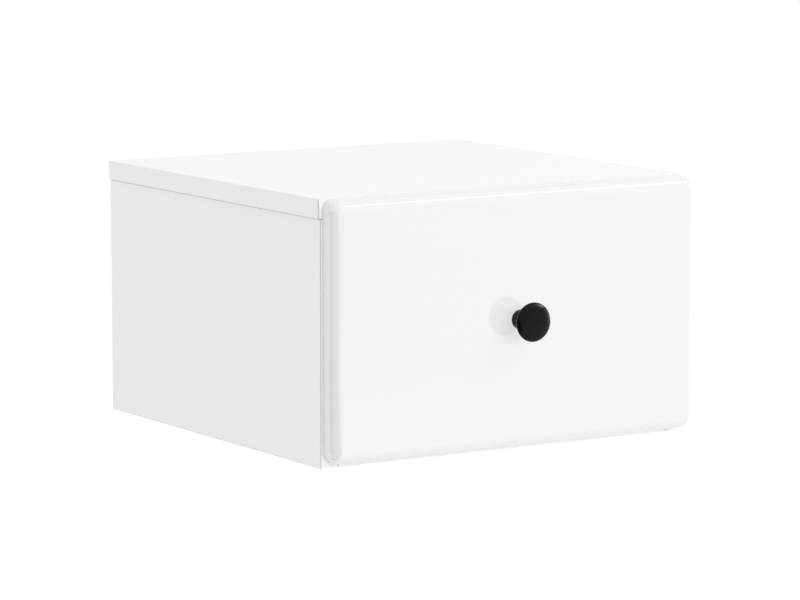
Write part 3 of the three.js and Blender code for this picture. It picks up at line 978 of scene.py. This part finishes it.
@dataclass
class DrawerFront(Assembly):
    """The drawer front: a thick slab whose face is rounded over softly on all four sides.

    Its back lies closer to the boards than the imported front's by back_fit, and its top edge is higher by
    top_fit.
    """

    node: str = "drawer_front"
    rounding: float = 10 * MM
    back_rounding: float = 0.15 * MM
    back_fit: float = 0.4 * MM
    top_fit: float = 1.6 * MM
    corner_extra: float = 0.5 * MM
    flat_rim: float = 1 * MM
    steps: int = 14
    back_steps: int = 3
    groove_depth: float = 5.5 * MM
    groove_clear: float = 0.3 * MM
    groove_reach: float = 0.4 * MM
    bolt_hole: float = 2.8 * MM
    bolt_hole_depth: float = 11.4 * MM
    screw_hole: float = 2.3 * MM

    def outline(self, low: Vector, high: Vector, y: float, inset: float) -> list[Vector]:
        """The slab's outline at one depth.

        Args:
            low: The slab's lowest corner.
            high: The slab's highest corner.
            y: The depth.
            inset: How far the outline lies inside the slab's edge.

        Returns:
            The outline's points.
        """
        radius = max(self.rounding + self.corner_extra - inset, self.corner_extra)
        # The top is rounded over deeper by its fit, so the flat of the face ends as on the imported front.
        fall = inset * (1 + self.top_fit / self.rounding)
        points = rectangle((low.x + inset, low.z + inset), (high.x - inset, high.z - fall))
        return [Vector((x, y, z)) for x, z in eased(points, [radius] * len(points), self.steps)]

    def slab(self, low: Vector, high: Vector) -> Shape:
        """The rounded slab between two corners.

        Args:
            low: The lowest corner, on the face.
            high: The highest corner, on the back.

        Returns:
            The slab's mesh.
        """
        large, small = self.rounding, self.back_rounding
        stations = [
            (low.y, large + self.flat_rim),
            *arc((low.y + large, large), (-large, -large), 0, QUARTER_TURN, self.steps),
            *arc((high.y - small, small), (small, -small), QUARTER_TURN, 0, self.back_steps),
            (high.y, small + self.flat_rim),
        ]
        return lofted([self.outline(low, high, y, inset) for y, inset in stations])

    def cuts(self, back: float) -> list[Shape]:
        """The groove for the drawer bottom, the holes of the fittings and the knob's screw hole.

        Args:
            back: The depth of the slab's back.

        Returns:
            The tools.
        """
        bottom_low, bottom_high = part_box("drawer_bottom")
        groove = block(
            (bottom_low.x - self.groove_reach, back - self.groove_depth, bottom_low.z - self.groove_clear),
            (bottom_high.x + self.groove_reach, back + OVERRUN, bottom_high.z + self.groove_clear),
        )
        tools = [groove]
        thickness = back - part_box(self.node)[0].y
        holes = [(f"front_{side.label}_cam_bolt", self.bolt_hole, self.bolt_hole_depth) for side in Side]
        holes.append(("knob_screw", self.screw_hole, thickness + OVERRUN))
        for node, radius, depth in holes:
            at = node_middle(node)
            place = frame_at(Vector((at.x, back, at.z)), -REAR, ACROSS)
            tools.append(set_down(bore(radius, -OVERRUN, depth), place))
        return tools

    def build(self) -> list[Piece]:
        """Build the lacquered front.

        Returns:
            The front.
        """
        low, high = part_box(self.node)
        high.y += self.back_fit
        high.z += self.top_fit
        mesh = worked(self.node, self.slab(low, high), self.cuts(high.y))
        return [fit("drawer_front_lacquered", mesh, FRONT, self.node)]


@dataclass
class Knob(Assembly):
    """The mushroom knob: base, neck, flare, and a head with a full rim and a nearly flat face."""

    node: str = "knob"
    projection: float = 28 * MM
    head_radius: float = 18 * MM
    limb: float = 22.4 * MM
    back_rounding: float = 2.6 * MM
    fullness: float = 2.2
    base_radius: float = 9 * MM
    base_step: float = 1.2 * MM
    base_rounding: float = 0.6 * MM
    neck_radius: float = 8.5 * MM
    neck_length: float = 9 * MM
    seat: float = 0.2 * MM
    hole_radius: float = 2.3 * MM
    hole_depth: float = 11.4 * MM
    sides: int = 128
    steps: int = 24
    foot_steps: int = 4

    def crown(self) -> list[Point]:
        """The face's curve from just past the widest point to the middle: full at the rim, nearly flat within.

        Returns:
            The curve's points.
        """
        power = 2 / self.fullness
        rise = self.projection - self.limb
        turns = [QUARTER_TURN * i / (2 * self.steps) for i in range(1, 2 * self.steps)]
        curve = [(self.head_radius * math.cos(t) ** power, self.limb + rise * math.sin(t) ** power) for t in turns]
        return [*curve, (0, self.projection)]

    def profile(self) -> list[Point]:
        """The knob's profile from the blind hole round to the middle of its face.

        Returns:
            The profile's points.
        """
        rim_centre = self.head_radius - self.back_rounding
        flare = arc(
            (rim_centre, self.neck_length),
            (self.neck_radius - rim_centre, self.limb - self.back_rounding - self.neck_length),
            0,
            QUARTER_TURN,
            self.steps,
        )
        rim = arc((rim_centre, self.limb), (self.back_rounding, self.back_rounding), -QUARTER_TURN, 0, self.steps // 2)
        foot = arc(
            (self.base_radius - self.base_rounding, self.seat + self.base_rounding),
            (self.base_rounding, self.base_rounding),
            -QUARTER_TURN,
            0,
            self.foot_steps,
        )
        hole = [(0, self.hole_depth), (self.hole_radius, self.hole_depth), (self.hole_radius, self.seat)]
        return [*hole, *foot, (self.base_radius, self.base_step), *flare, *rim[1:], *self.crown()]

    def build(self) -> list[Piece]:
        """Build the painted knob, which casts no soft shade on the white front.

        Returns:
            The knob.
        """
        place = frame_at(node_end(self.node, REAR) + REAR * self.seat, -REAR, ACROSS)
        shape = set_down(turned(self.profile(), self.sides), place)
        knob = fit("knob_turned", as_mesh(self.node, shape), KNOB, self.node)
        knob.visible_diffuse = False
        return [knob]


class Head(Enum):
    """How a screw's head is shaped."""

    PAN = "pan"
    SUNK = "sunk"


@dataclass(frozen=True)
class Screw:
    """A cross-head screw with a rolled thread. Its Z runs along the shank from the face under its head."""

    head: Head
    head_radius: float
    head_height: float
    shank_radius: float
    length: float
    tip: float
    pitch: float = 1.2 * MM
    thread_depth: float = 0.45 * MM
    plain: float = 1.5 * MM
    sides: int = 40
    lift: float = 0.2 * MM
    sunk_lift: float = 0.3 * MM
    recess_share: float = 0.62
    recess_width_share: float = 0.17
    crown_steps: int = 8

    def head_top(self) -> float:
        """The Z of the head's top, which is negative where the head stands over the face."""
        return -self.head_height if self.head is Head.PAN else self.sunk_lift

    def profile(self) -> list[Point]:
        """The screw's profile from the middle of its head to its tip.

        Returns:
            The profile's points.
        """
        shoulder = self.length - self.tip
        if self.head is Head.SUNK:
            top = [(0, self.sunk_lift), (self.head_radius, self.sunk_lift), (self.head_radius, 2 * self.sunk_lift)]
            under = [(self.shank_radius, self.head_height + self.sunk_lift)]
        else:
            radii = (self.head_radius, self.lift - self.head_height)
            crown = arc((0, -self.lift), radii, QUARTER_TURN, 0, self.crown_steps)
            top = [(0, -self.head_height), *crown[1:]]
            under = [(self.shank_radius, -self.lift)]
        return [*top, *under, (self.shank_radius, shoulder), (0, self.length)]

    def recess(self) -> list[Shape]:
        """The two slots of the cross in the head, each a wedge that narrows as it goes down.

        Returns:
            The wedges, as tools.
        """
        top = self.head_top()
        long = self.head_radius * self.recess_share
        wide = self.head_radius * self.recess_width_share
        deep = self.head_height * self.recess_share
        rings = [
            [Vector((x, y, height)) for x, y in rectangle((-reach, -half), (reach, half))]
            for height, reach, half in ((top - deep, long, wide), (top, long, wide), (top + deep, wide, wide / 2))
        ]
        return [set_down(lofted(rings), Matrix.Rotation(turn, 4, "Z")) for turn in (0, QUARTER_TURN)]

    def place(self, node: str, along: Vector) -> Piece:
        """Fit the screw in the place of a node.

        Args:
            node: The node.
            along: The direction that the screw is driven in.

        Returns:
            The fitted screw.
        """
        top = node_end(node, -along)
        toward = UP if abs(along.z) < 1 else ACROSS
        place = frame_at(top - along * self.head_top(), along, toward)
        start = self.plain + max(0.0, self.head_top()) + (self.head_height if self.head is Head.SUNK else 0)
        thread = Thread(start, self.length - self.tip / 2, self.thread_depth, self.pitch)
        body = turned(self.profile(), self.sides, thread=thread)
        mesh = worked(node, set_down(body, place), [set_down(slot, place) for slot in self.recess()])
        return fit(f"{node}_threaded", mesh, STEEL, node)


@dataclass
class Fasteners(Assembly):
    """Every screw of the drawer and the runners."""

    runner: Screw = Screw(
        Head.PAN, head_radius=4 * MM, head_height=0.9 * MM, shank_radius=2 * MM, length=13 * MM, tip=3 * MM
    )
    rail: Screw = Screw(
        Head.PAN, head_radius=3.2 * MM, head_height=1.2 * MM, shank_radius=1.6 * MM, length=9 * MM, tip=2.5 * MM
    )
    back: Screw = Screw(
        Head.SUNK, head_radius=3.5 * MM, head_height=2 * MM, shank_radius=1.7 * MM, length=30 * MM, tip=4 * MM
    )
    knob: Screw = Screw(
        Head.PAN, head_radius=4 * MM, head_height=2.5 * MM, shank_radius=2 * MM, length=30 * MM, tip=0.8 * MM,
        pitch=0.7 * MM, thread_depth=0.3 * MM,
    )

    def build(self) -> list[Piece]:
        """Build every screw in its place.

        Returns:
            The screws.
        """
        pieces = [self.knob.place("knob_screw", -REAR)]
        for side in Side:
            for end in ("front", "rear"):
                pieces.append(self.runner.place(f"cabinet_runner_screw_{side.label}_{end}", side.outward))
            for height in ("lower", "upper"):
                pieces.append(self.back.place(f"drawer_back_screw_{side.label}_{height}", -side.outward))
            pieces.append(self.rail.place(f"drawer_runner_screw_{side.label}", UP))
        return pieces


@dataclass(frozen=True)
class CamSizes:
    """The sizes of one kind of cam fitting."""

    cam_radius: float
    shank_radius: float
    neck_radius: float
    head_radius: float
    head_length: float
    drive_width: float
    drive_length: float
    thread_radius: float = 2.5 * MM
    thread_length: float = 11 * MM
    setback: float = 24 * MM


@dataclass(frozen=True)
class CamPlace:
    """Where a fitting sits: the way its bolt runs and the way its cam faces."""

    name: str
    along: Vector
    toward: Vector


@dataclass
class CamFittings(Assembly):
    """The bolts and turning cams that hold the boards together."""

    carcass: CamSizes = CamSizes(
        cam_radius=7.5 * MM, shank_radius=3.5 * MM, neck_radius=2.2 * MM, head_radius=3.6 * MM, head_length=3 * MM,
        drive_width=1.6 * MM, drive_length=9 * MM,
    )
    drawer: CamSizes = CamSizes(
        cam_radius=6 * MM, shank_radius=2.8 * MM, neck_radius=1.8 * MM, head_radius=2.8 * MM, head_length=2.6 * MM,
        drive_width=1.4 * MM, drive_length=7 * MM,
    )
    clear: float = 0.4 * MM
    seam: float = 0.2 * MM
    rim_ease: float = 0.35 * MM
    pitch: float = 2.2 * MM
    thread_depth: float = 0.9 * MM
    drive_share: float = 0.5
    sides: int = 48

    def places(self) -> list[CamPlace]:
        """Find every fitting's place.

        Returns:
            The places.
        """
        found = []
        for side in Side:
            inward = -side.outward
            for end in ("front", "rear"):
                found.append(CamPlace(f"top_{side.label}_{end}", -UP, inward))
                found.append(CamPlace(f"bottom_{side.label}_{end}", inward, -UP))
            found.append(CamPlace(f"rail_{side.label}", inward, -REAR))
            found.append(CamPlace(f"front_{side.label}", REAR, side.outward))
        return found

    def bolt(self, sizes: CamSizes) -> Shape:
        """The bolt, along Z from where it leaves its own board.

        Args:
            sizes: The fitting's sizes.

        Returns:
            The bolt's mesh.
        """
        taper = sizes.shank_radius - sizes.neck_radius
        shank_end = sizes.setback - sizes.cam_radius - self.clear - taper
        head_start = sizes.setback - sizes.head_length / 2
        head_end = sizes.setback + sizes.head_length / 2
        shoulder = (sizes.head_radius - sizes.neck_radius) / 2
        profile = [
            (0, -sizes.thread_length),
            (sizes.thread_radius, -sizes.thread_length),
            (sizes.thread_radius, self.seam),
            (sizes.shank_radius, self.seam),
            (sizes.shank_radius, shank_end),
            (sizes.neck_radius, shank_end + taper),
            (sizes.neck_radius, head_start),
            (sizes.head_radius, head_start + shoulder),
            (sizes.head_radius, head_end),
            (0, head_end + shoulder),
        ]
        thread = Thread(-sizes.thread_length, 0, self.thread_depth, self.pitch)
        return turned(profile, self.sides, thread=thread)

    def cam(self, sizes: CamSizes, base: float, face: float) -> tuple[Shape, list[Shape]]:
        """The cam and the tools that cut its pocket, its slot and the cross on its face.

        Args:
            sizes: The fitting's sizes.
            base: The X of its hidden end.
            face: The X of its face.

        Returns:
            The cam's disc and its tools.
        """
        centre = Matrix.Translation((0, 0, sizes.setback))
        lying = centre @ Matrix.Rotation(QUARTER_TURN, 4, "Y")
        rim = eased(
            [(0, base), (sizes.cam_radius, base), (sizes.cam_radius, face), (0, face)],
            [0, self.rim_ease, self.rim_ease, 0],
            closed=False,
        )
        disc = set_down(turned(rim, self.sides), lying)
        reach = sizes.head_length / 2 + sizes.head_radius - sizes.neck_radius + self.clear
        pocket = sizes.head_radius + self.clear
        neck = sizes.neck_radius + self.clear
        deep = (face - pocket) * self.drive_share
        wide, long = sizes.drive_width / 2, sizes.drive_length / 2
        tools = [
            block((base - OVERRUN, -pocket, sizes.setback - reach), (pocket, pocket, sizes.setback + reach)),
            block((base - OVERRUN, -neck, sizes.setback - sizes.cam_radius - OVERRUN), (neck, neck, sizes.setback)),
        ]
        for turn in (0, QUARTER_TURN):
            arm = block((face - deep, -wide, -long), (face + OVERRUN, wide, long))
            tools.append(set_down(arm, centre @ Matrix.Rotation(turn, 4, "X")))
        return disc, tools

    def build(self) -> list[Piece]:
        """Build every bolt and cam in its place.

        Returns:
            The bolts and cams.
        """
        pieces = []
        for spot in self.places():
            sizes = self.drawer if spot.name.startswith("front") else self.carcass
            bolt_node, cam_node = f"{spot.name}_cam_bolt", f"{spot.name}_cam"
            origin = node_end(bolt_node, -spot.along) + spot.along * sizes.thread_length
            place = frame_at(origin, spot.along, spot.toward)
            ends = [(node_end(cam_node, spot.toward * way) - origin).dot(spot.toward) for way in (-1, 1)]
            bolt = as_mesh(bolt_node, set_down(self.bolt(sizes), place))
            disc, tools = self.cam(sizes, *ends)
            cam = worked(cam_node, set_down(disc, place), [set_down(tool, place) for tool in tools])
            pieces.append(fit(f"{bolt_node}_threaded", bolt, STEEL, bolt_node))
            pieces.append(fit(f"{cam_node}_cast", cam, ZINC, cam_node))
        return pieces


class Runner(Enum):
    """The two runners of a side, by what they are screwed to."""

    CABINET = "cabinet"
    DRAWER = "drawer"


@dataclass(frozen=True)
class Fold:
    """A folded runner's section, in millimetres in from the side panel and up from the cabinet runner's foot."""

    section: tuple[Point, ...]
    bends: tuple[float, ...]

    def outline(self, side: Side, wall: float, foot: float, steps: int) -> list[Point]:
        """The section with its bends, in X and Z.

        Args:
            side: The side that the runner is on.
            wall: How far the inner face of the side panel is from the middle.
            foot: The height of the cabinet runner's foot.
            steps: Facets in each bend.

        Returns:
            The outline's points.
        """
        bent = eased(self.section, self.bends, steps)
        return [(side.value * (wall - across * MM), foot + up * MM) for across, up in bent]


@dataclass
class RunnerPair(Assembly):
    """The runners of one side: folded channels, ribbed nylon rollers and their riveted axles."""

    side: Side
    cabinet: Fold = Fold(
        ((0.2, 0), (10.7, 0), (10.7, 4), (9.5, 4), (9.5, 1.2), (1.4, 1.2), (1.4, 22), (5, 22), (5, 23.2), (0.2, 23.2)),
        (1.6, 1.6, 0.3, 0.3, 0.4, 0.4, 0.4, 0.3, 0.3, 1.6),
    )
    drawer: Fold = Fold(
        ((11.1, -2.4), (23.8, -2.4), (23.8, -1.2), (12.3, -1.2), (12.3, 23.2), (5.6, 23.2), (5.6, 22), (11.1, 22)),
        (1.6, 0.3, 0.3, 0.4, 1.6, 0.3, 0.3, 0.4),
    )
    bend_steps: int = 5
    screw_hole: float = 2.3 * MM
    rail_hole: float = 1.9 * MM
    rail_hole_depth: float = 2 * MM
    hole_reach: float = 30 * MM
    stops: tuple[Span, ...] = ((-45.7 * MM, -44.5 * MM), (-332.5 * MM, -331.3 * MM))
    stop_across: Span = (3.8 * MM, 9.2 * MM)
    stop_up: Span = (0.6 * MM, 6.2 * MM)
    stop_rounding: float = 1.5 * MM
    slot_places: tuple[float, ...] = (-94 * MM, -180 * MM, -234 * MM, -288 * MM)
    slot_length: float = 7 * MM
    slot_height: float = 4 * MM
    slot_end_share: float = 0.98
    slot_steps: int = 6
    slot_up: float = 11 * MM
    roller_radius: float = 10 * MM
    roller_half: float = 2.7 * MM
    roller_edge: float = 0.7 * MM
    roller_corner: float = 0.2 * MM
    roller_dish: Span = (4.2 * MM, 8.4 * MM)
    roller_dish_floor: float = 1.7 * MM
    roller_dish_rounding: float = 0.3 * MM
    roller_bore: float = 2.3 * MM
    ribs: int = 6
    rib_width: float = 0.9 * MM
    rib_top: float = 2.4 * MM
    rib_root: float = 1 * MM
    rib_sink: float = 0.5 * MM
    axle_radius: float = 2 * MM
    axle_ease: float = 0.15 * MM
    collar_radius: float = 3.4 * MM
    collar_foot: float = 1.4 * MM
    head_height: float = 0.8 * MM
    head_edge: float = 0.3 * MM
    head_steps: int = 8
    axle_seat: dict[Runner, float] = field(
        default_factory=lambda: {Runner.CABINET: 3.3 * MM, Runner.DRAWER: 2.8 * MM}
    )
    axle_gap: float = 6 * MM
    sides: int = 72

    def across(self, node: str, radius: float) -> Shape:
        """A round tool along X through the middle of a node.

        Args:
            node: The node that the hole is for.
            radius: The hole's radius.

        Returns:
            The tool.
        """
        place = frame_at(node_middle(node), ACROSS, UP)
        return set_down(bore(radius, -self.hole_reach / 2, self.hole_reach / 2), place)

    def slots(self, foot: float) -> list[Shape]:
        """The long holes punched through the cabinet runner's web.

        Args:
            foot: The height of the runner's foot.

        Returns:
            The tools.
        """
        long, high = self.slot_length / 2, self.slot_height / 2
        x = self.side.value * node_middle("side_panel_right").x
        tools = []
        for y in self.slot_places:
            corners = rectangle((y - long, -high), (y + long, high))
            outline = eased(corners, [high * self.slot_end_share] * len(corners), self.slot_steps)
            rings = [
                [Vector((x + reach, along, foot + self.slot_up + up)) for along, up in outline]
                for reach in (-self.hole_reach / 2, self.hole_reach / 2)
            ]
            tools.append(lofted(rings))
        return tools

    def stop(self, wall: float, foot: float, place: Span) -> Shape:
        """A tab that stops the drawer's roller.

        Args:
            wall: How far the inner face of the side panel is from the middle.
            foot: The height of the runner's foot.
            place: The Y of its front and of its rear.

        Returns:
            The tab.
        """
        (near, far), (low, high) = self.stop_across, self.stop_up
        section = eased(rectangle((near, low), (far, high)), [0, 0, self.stop_rounding, self.stop_rounding])
        return drawn_out([(self.side.value * (wall - across), foot + up) for across, up in section], *place)

    def channel(self, runner: Runner) -> Piece:
        """A folded channel with its holes and stops.

        Args:
            runner: Which of the two runners it is.

        Returns:
            The fitted channel.
        """
        label = self.side.label
        node = f"{runner.value}_runner_{label}"
        low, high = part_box(node)
        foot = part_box(f"cabinet_runner_{label}")[0].z
        wall = min(abs(corner.x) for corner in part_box(f"side_panel_{label}"))
        cuts = [self.across(f"{runner.value}_roller_axle_{label}", self.screw_hole)]
        welds = []
        if runner is Runner.CABINET:
            cuts += [self.across(f"cabinet_runner_screw_{label}_{end}", self.screw_hole) for end in ("front", "rear")]
            cuts += self.slots(foot)
            welds += [self.stop(wall, foot, place) for place in self.stops]
        else:
            at = node_middle(f"drawer_runner_screw_{label}")
            place = frame_at(Vector((at.x, at.y, low.z)), UP, ACROSS)
            cuts.append(set_down(bore(self.rail_hole, -OVERRUN, self.rail_hole_depth), place))
        fold = self.cabinet if runner is Runner.CABINET else self.drawer
        body = drawn_out(fold.outline(self.side, wall, foot, self.bend_steps), low.y, high.y)
        return fit(f"{node}_folded", worked(node, body, cuts, welds), ENAMEL, node)

    def roller(self, runner: Runner) -> Piece:
        """A nylon roller, dished on one side and stiffened by ribs.

        Args:
            runner: The runner that it turns on.

        Returns:
            The fitted roller.
        """
        node = f"{runner.value}_roller_{self.side.label}"
        half, radius, hole = self.roller_half, self.roller_radius, self.roller_bore
        (hub, rim), floor = self.roller_dish, self.roller_dish_floor
        edge, corner, dish = self.roller_edge, self.roller_corner, self.roller_dish_rounding
        profile = eased(
            [
                (hole, -half), (radius, -half), (radius, half), (rim, half),
                (rim, floor), (hub, floor), (hub, half), (hole, half),
            ],
            [corner, edge, edge, corner, dish, dish, corner, corner],
        )
        place = frame_at(node_middle(node), -self.side.outward, UP)
        wide, sink = self.rib_width / 2, self.rib_sink
        ribs = []
        for i in range(self.ribs):
            rib = block((hub - self.rib_root, -wide, floor - sink), (rim + sink, wide, self.rib_top))
            ribs.append(set_down(rib, place @ Matrix.Rotation(FULL_TURN * i / self.ribs, 4, "Z")))
        body = set_down(turned(profile, self.sides, looped=True), place)
        return fit(f"{node}_moulded", worked(node, body, [], ribs), NYLON, node)

    def axle(self, runner: Runner) -> Piece:
        """An axle with a collar behind the roller and a riveted head in front of it.

        Args:
            runner: The runner that it is riveted to.

        Returns:
            The fitted axle.
        """
        node = f"{runner.value}_roller_axle_{self.side.label}"
        along = -self.side.outward if runner is Runner.CABINET else self.side.outward
        seat = self.axle_seat[runner]
        top = seat + self.axle_gap
        foot, edge = self.collar_foot, self.head_edge
        pin, collar, ease = self.axle_radius, self.collar_radius, self.axle_ease
        body = eased(
            [(0, 0), (pin, 0), (pin, foot), (collar, foot), (collar, seat), (pin, seat), (pin, top)],
            [0, ease, 0, ease, ease, 0, 0],
            closed=False,
        )
        dome = arc((0, top + edge), (collar, self.head_height - edge), 0, QUARTER_TURN, self.head_steps)
        head = [(collar, top), *dome[:-1], (0, top + self.head_height)]
        place = frame_at(node_end(node, -along), along, UP)
        mesh = as_mesh(node, set_down(turned([*body, *head], self.sides // 2), place))
        return fit(f"{node}_riveted", mesh, STEEL, node)

    def build(self) -> list[Piece]:
        """The channels, rollers and axles of both runners."""
        return [make(runner) for runner in Runner for make in (self.channel, self.axle, self.roller)]


# Studio


@dataclass(frozen=True)
class Viewpoint:
    """Where the photograph was taken from, and with what lens."""

    place: tuple[float, float, float] = (-2.0494, -3.4752, 0.4575)
    turn: float = 32.1058
    tilt: float = 7.8291
    lens: float = 184.55
    sensor: float = 36.0

    def build(self) -> None:
        """Set up the scene's camera."""
        data = bpy.data.cameras.new("camera")
        data.sensor_fit = "HORIZONTAL"
        data.sensor_width = self.sensor
        data.lens = self.lens
        camera = bpy.data.objects.new("camera", data)
        camera.location = self.place
        camera.rotation_euler = (QUARTER_TURN - math.radians(self.tilt), 0, -math.radians(self.turn))
        bpy.context.scene.collection.objects.link(camera)
        bpy.context.scene.camera = camera


@dataclass(frozen=True)
class SoftBox:
    """A studio lamp with a broad white face, which lights everything or certain pieces alone."""

    name: str
    azimuth: float
    elevation: float
    distance: float
    width: float
    height: float
    power: float
    shows_in_gloss: bool = True
    only_on: tuple[str, ...] = ()

    def build(self, centre: Vector) -> None:
        """Hang the lamp and turn it to the middle of the nightstand.

        Args:
            centre: The middle of the nightstand.
        """
        around, up = math.radians(self.azimuth), math.radians(self.elevation)
        away = Vector((math.sin(around) * math.cos(up), -math.cos(around) * math.cos(up), math.sin(up)))
        data = bpy.data.lights.new(self.name, "AREA")
        data.shape = "RECTANGLE"
        data.size, data.size_y = self.width, self.height
        data.energy = self.power
        lamp = bpy.data.objects.new(self.name, data)
        lamp.location = centre + away * self.distance
        lamp.rotation_euler = away.to_track_quat("Z", "Y").to_euler()
        lamp.visible_camera = False
        lamp.visible_glossy = self.shows_in_gloss
        bpy.context.scene.collection.objects.link(lamp)
        if self.only_on:
            lit = bpy.data.collections.new(f"lit_by_{self.name}")
            for piece in self.only_on:
                lit.objects.link(bpy.data.objects[piece])
            lamp.light_linking.receiver_collection = lit


@dataclass
class Studio:
    """The plain studio: white surround, pale floor, soft lamps and one dark screen."""

    ambient: float = 0.93
    floor_drop: float = 0.35
    floor_reach: float = 9.0
    floor_white: Colour = (0.9, 0.9, 0.9)
    floor_lift: float = 0.165
    lamps: tuple[SoftBox, ...] = (
        SoftBox("key_box", azimuth=38, elevation=42, distance=4.2, width=2.6, height=0.5, power=10),
        SoftBox(
            "front_box", azimuth=6, elevation=10, distance=2.5, width=2.2, height=0.9, power=12, shows_in_gloss=False
        ),
        SoftBox(
            "top_box", azimuth=60, elevation=75, distance=2.4, width=1.4, height=1.4, power=5.6, shows_in_gloss=False
        ),
        SoftBox(
            "rim_box", azimuth=66, elevation=30, distance=3.0, width=1.0, height=0.8, power=36, only_on=("knob_turned",)
        ),
        SoftBox(
            "edge_box", azimuth=80, elevation=0, distance=3.0, width=0.4, height=0.9, power=9, only_on=("knob_turned",)
        ),
    )
    screen_x: float = -1.6
    screen_y: Span = (-2.55, 1.3)
    screen_top: float = 0.2
    foot_edge: float = -0.34
    foot_end: float = 0.0
    foot_lift: float = 1 * MM

    def seen(self, tree: bpy.types.NodeTree) -> Socket:
        """One for rays that show the background: from the camera, in gloss and through glass.

        Args:
            tree: The node tree that asks.

        Returns:
            The value, zero or one.
        """
        path = tree.nodes.new("ShaderNodeLightPath")
        most = path.outputs["Is Camera Ray"]
        for name in ("Is Glossy Ray", "Is Transmission Ray"):
            node = tree.nodes.new("ShaderNodeMath")
            node.operation = "MAXIMUM"
            tree.links.new(most, node.inputs[0])
            tree.links.new(path.outputs[name], node.inputs[1])
            most = node.outputs["Value"]
        return most

    def surround(self) -> None:
        """Make the world: white where it is seen, and an even soft light elsewhere."""
        world = bpy.data.worlds.new("white_surround")
        bpy.context.scene.world = world
        world.use_nodes = True
        tree = world.node_tree
        tree.nodes.clear()
        shaders = []
        for strength in (self.ambient, 1.0):
            node = tree.nodes.new("ShaderNodeBackground")
            node.inputs["Color"].default_value = (1, 1, 1, 1)
            node.inputs["Strength"].default_value = strength
            shaders.append(node.outputs["Background"])
        mix = tree.nodes.new("ShaderNodeMixShader")
        output = tree.nodes.new("ShaderNodeOutputWorld")
        tree.links.new(self.seen(tree), mix.inputs[0])
        tree.links.new(shaders[0], mix.inputs[1])
        tree.links.new(shaders[1], mix.inputs[2])
        tree.links.new(mix.outputs["Shader"], output.inputs["Surface"])

    def floor_paint(self) -> bpy.types.Material:
        """The floor's matt white, which reads as white where it is lit and keeps its shadows.

        Returns:
            The floor's material.
        """
        material = bpy.data.materials.new("pale_floor")
        material.use_nodes = True
        tree = material.node_tree
        tree.nodes.clear()
        matt = tree.nodes.new("ShaderNodeBsdfDiffuse")
        matt.inputs["Color"].default_value = (*self.floor_white, 1)
        lift = tree.nodes.new("ShaderNodeEmission")
        scale = tree.nodes.new("ShaderNodeMath")
        scale.operation = "MULTIPLY"
        scale.inputs[1].default_value = self.floor_lift
        both = tree.nodes.new("ShaderNodeAddShader")
        output = tree.nodes.new("ShaderNodeOutputMaterial")
        tree.links.new(self.seen(tree), scale.inputs[0])
        tree.links.new(scale.outputs["Value"], lift.inputs["Strength"])
        tree.links.new(matt.outputs["BSDF"], both.inputs[0])
        tree.links.new(lift.outputs["Emission"], both.inputs[1])
        tree.links.new(both.outputs["Shader"], output.inputs["Surface"])
        return material

    def sheet_of(self, name: str, corners: Sequence[Sequence[float]], paint: bpy.types.Material) -> Piece:
        """A flat sheet of the studio.

        Args:
            name: Its name.
            corners: Its corners in order.
            paint: Its material.

        Returns:
            The sheet.
        """
        shape = bmesh.new()
        shape.faces.new([shape.verts.new(corner) for corner in corners])
        mesh = bpy.data.meshes.new(name)
        shape.to_mesh(mesh)
        shape.free()
        mesh.materials.append(paint)
        item = bpy.data.objects.new(name, mesh)
        bpy.context.scene.collection.objects.link(item)
        return item

    def floor(self, height: float) -> None:
        """Lay the floor under the nightstand.

        Args:
            height: Its height.
        """
        far = self.floor_reach
        corners = [(x, y, height) for x, y in rectangle((-far, -far), (far, far))]
        self.sheet_of("pale_floor", corners, self.floor_paint())

    def screen(self, foot: float) -> None:
        """Stand a dark screen with a foot on the left that shows only in gloss, so that the white edges stand out.

        Args:
            foot: The height that it stands on.
        """
        black = Mixer("black_screen")
        black.set(Base_Color=(0.0, 0.0, 0.0), Specular_IOR_Level=0.0)
        x, (near, far) = self.screen_x, self.screen_y
        upright = [(x, y, z) for y, z in rectangle((near, foot), (far, self.screen_top))]
        lying = [(*point, foot + self.foot_lift) for point in rectangle((x, near), (self.foot_edge, self.foot_end))]
        for name, corners in (("black_screen", upright), ("black_screen_foot", lying)):
            sheet = self.sheet_of(name, corners, black.material)
            sheet.visible_camera = False
            sheet.visible_diffuse = False
            sheet.visible_transmission = False
            sheet.visible_shadow = False

    def build(self) -> None:
        """Make the studio round the nightstand."""
        low, high = cad_box
        floor = low.z - self.floor_drop
        self.surround()
        self.floor(floor)
        self.screen(floor)
        for lamp in self.lamps:
            lamp.build((low + high) / 2)
        bpy.context.scene.view_settings.view_transform = "Standard"


def main() -> None:
    """Build the camera, the sub-assemblies in order and the studio, and report each piece."""
    logging.basicConfig(level=logging.INFO, format="%(name)s: %(message)s")
    Viewpoint().build()
    assemblies = [
        Carcass(),
        DrawerBox(),
        DrawerFront(),
        Knob(),
        Fasteners(),
        CamFittings(),
        *(RunnerPair(side) for side in Side),
    ]
    for assembly in assemblies:
        for piece in assembly.build():
            log.info("%s: %s", type(assembly).__name__, piece.name)
    Studio().build()


if __name__ == "__main__":
    main()
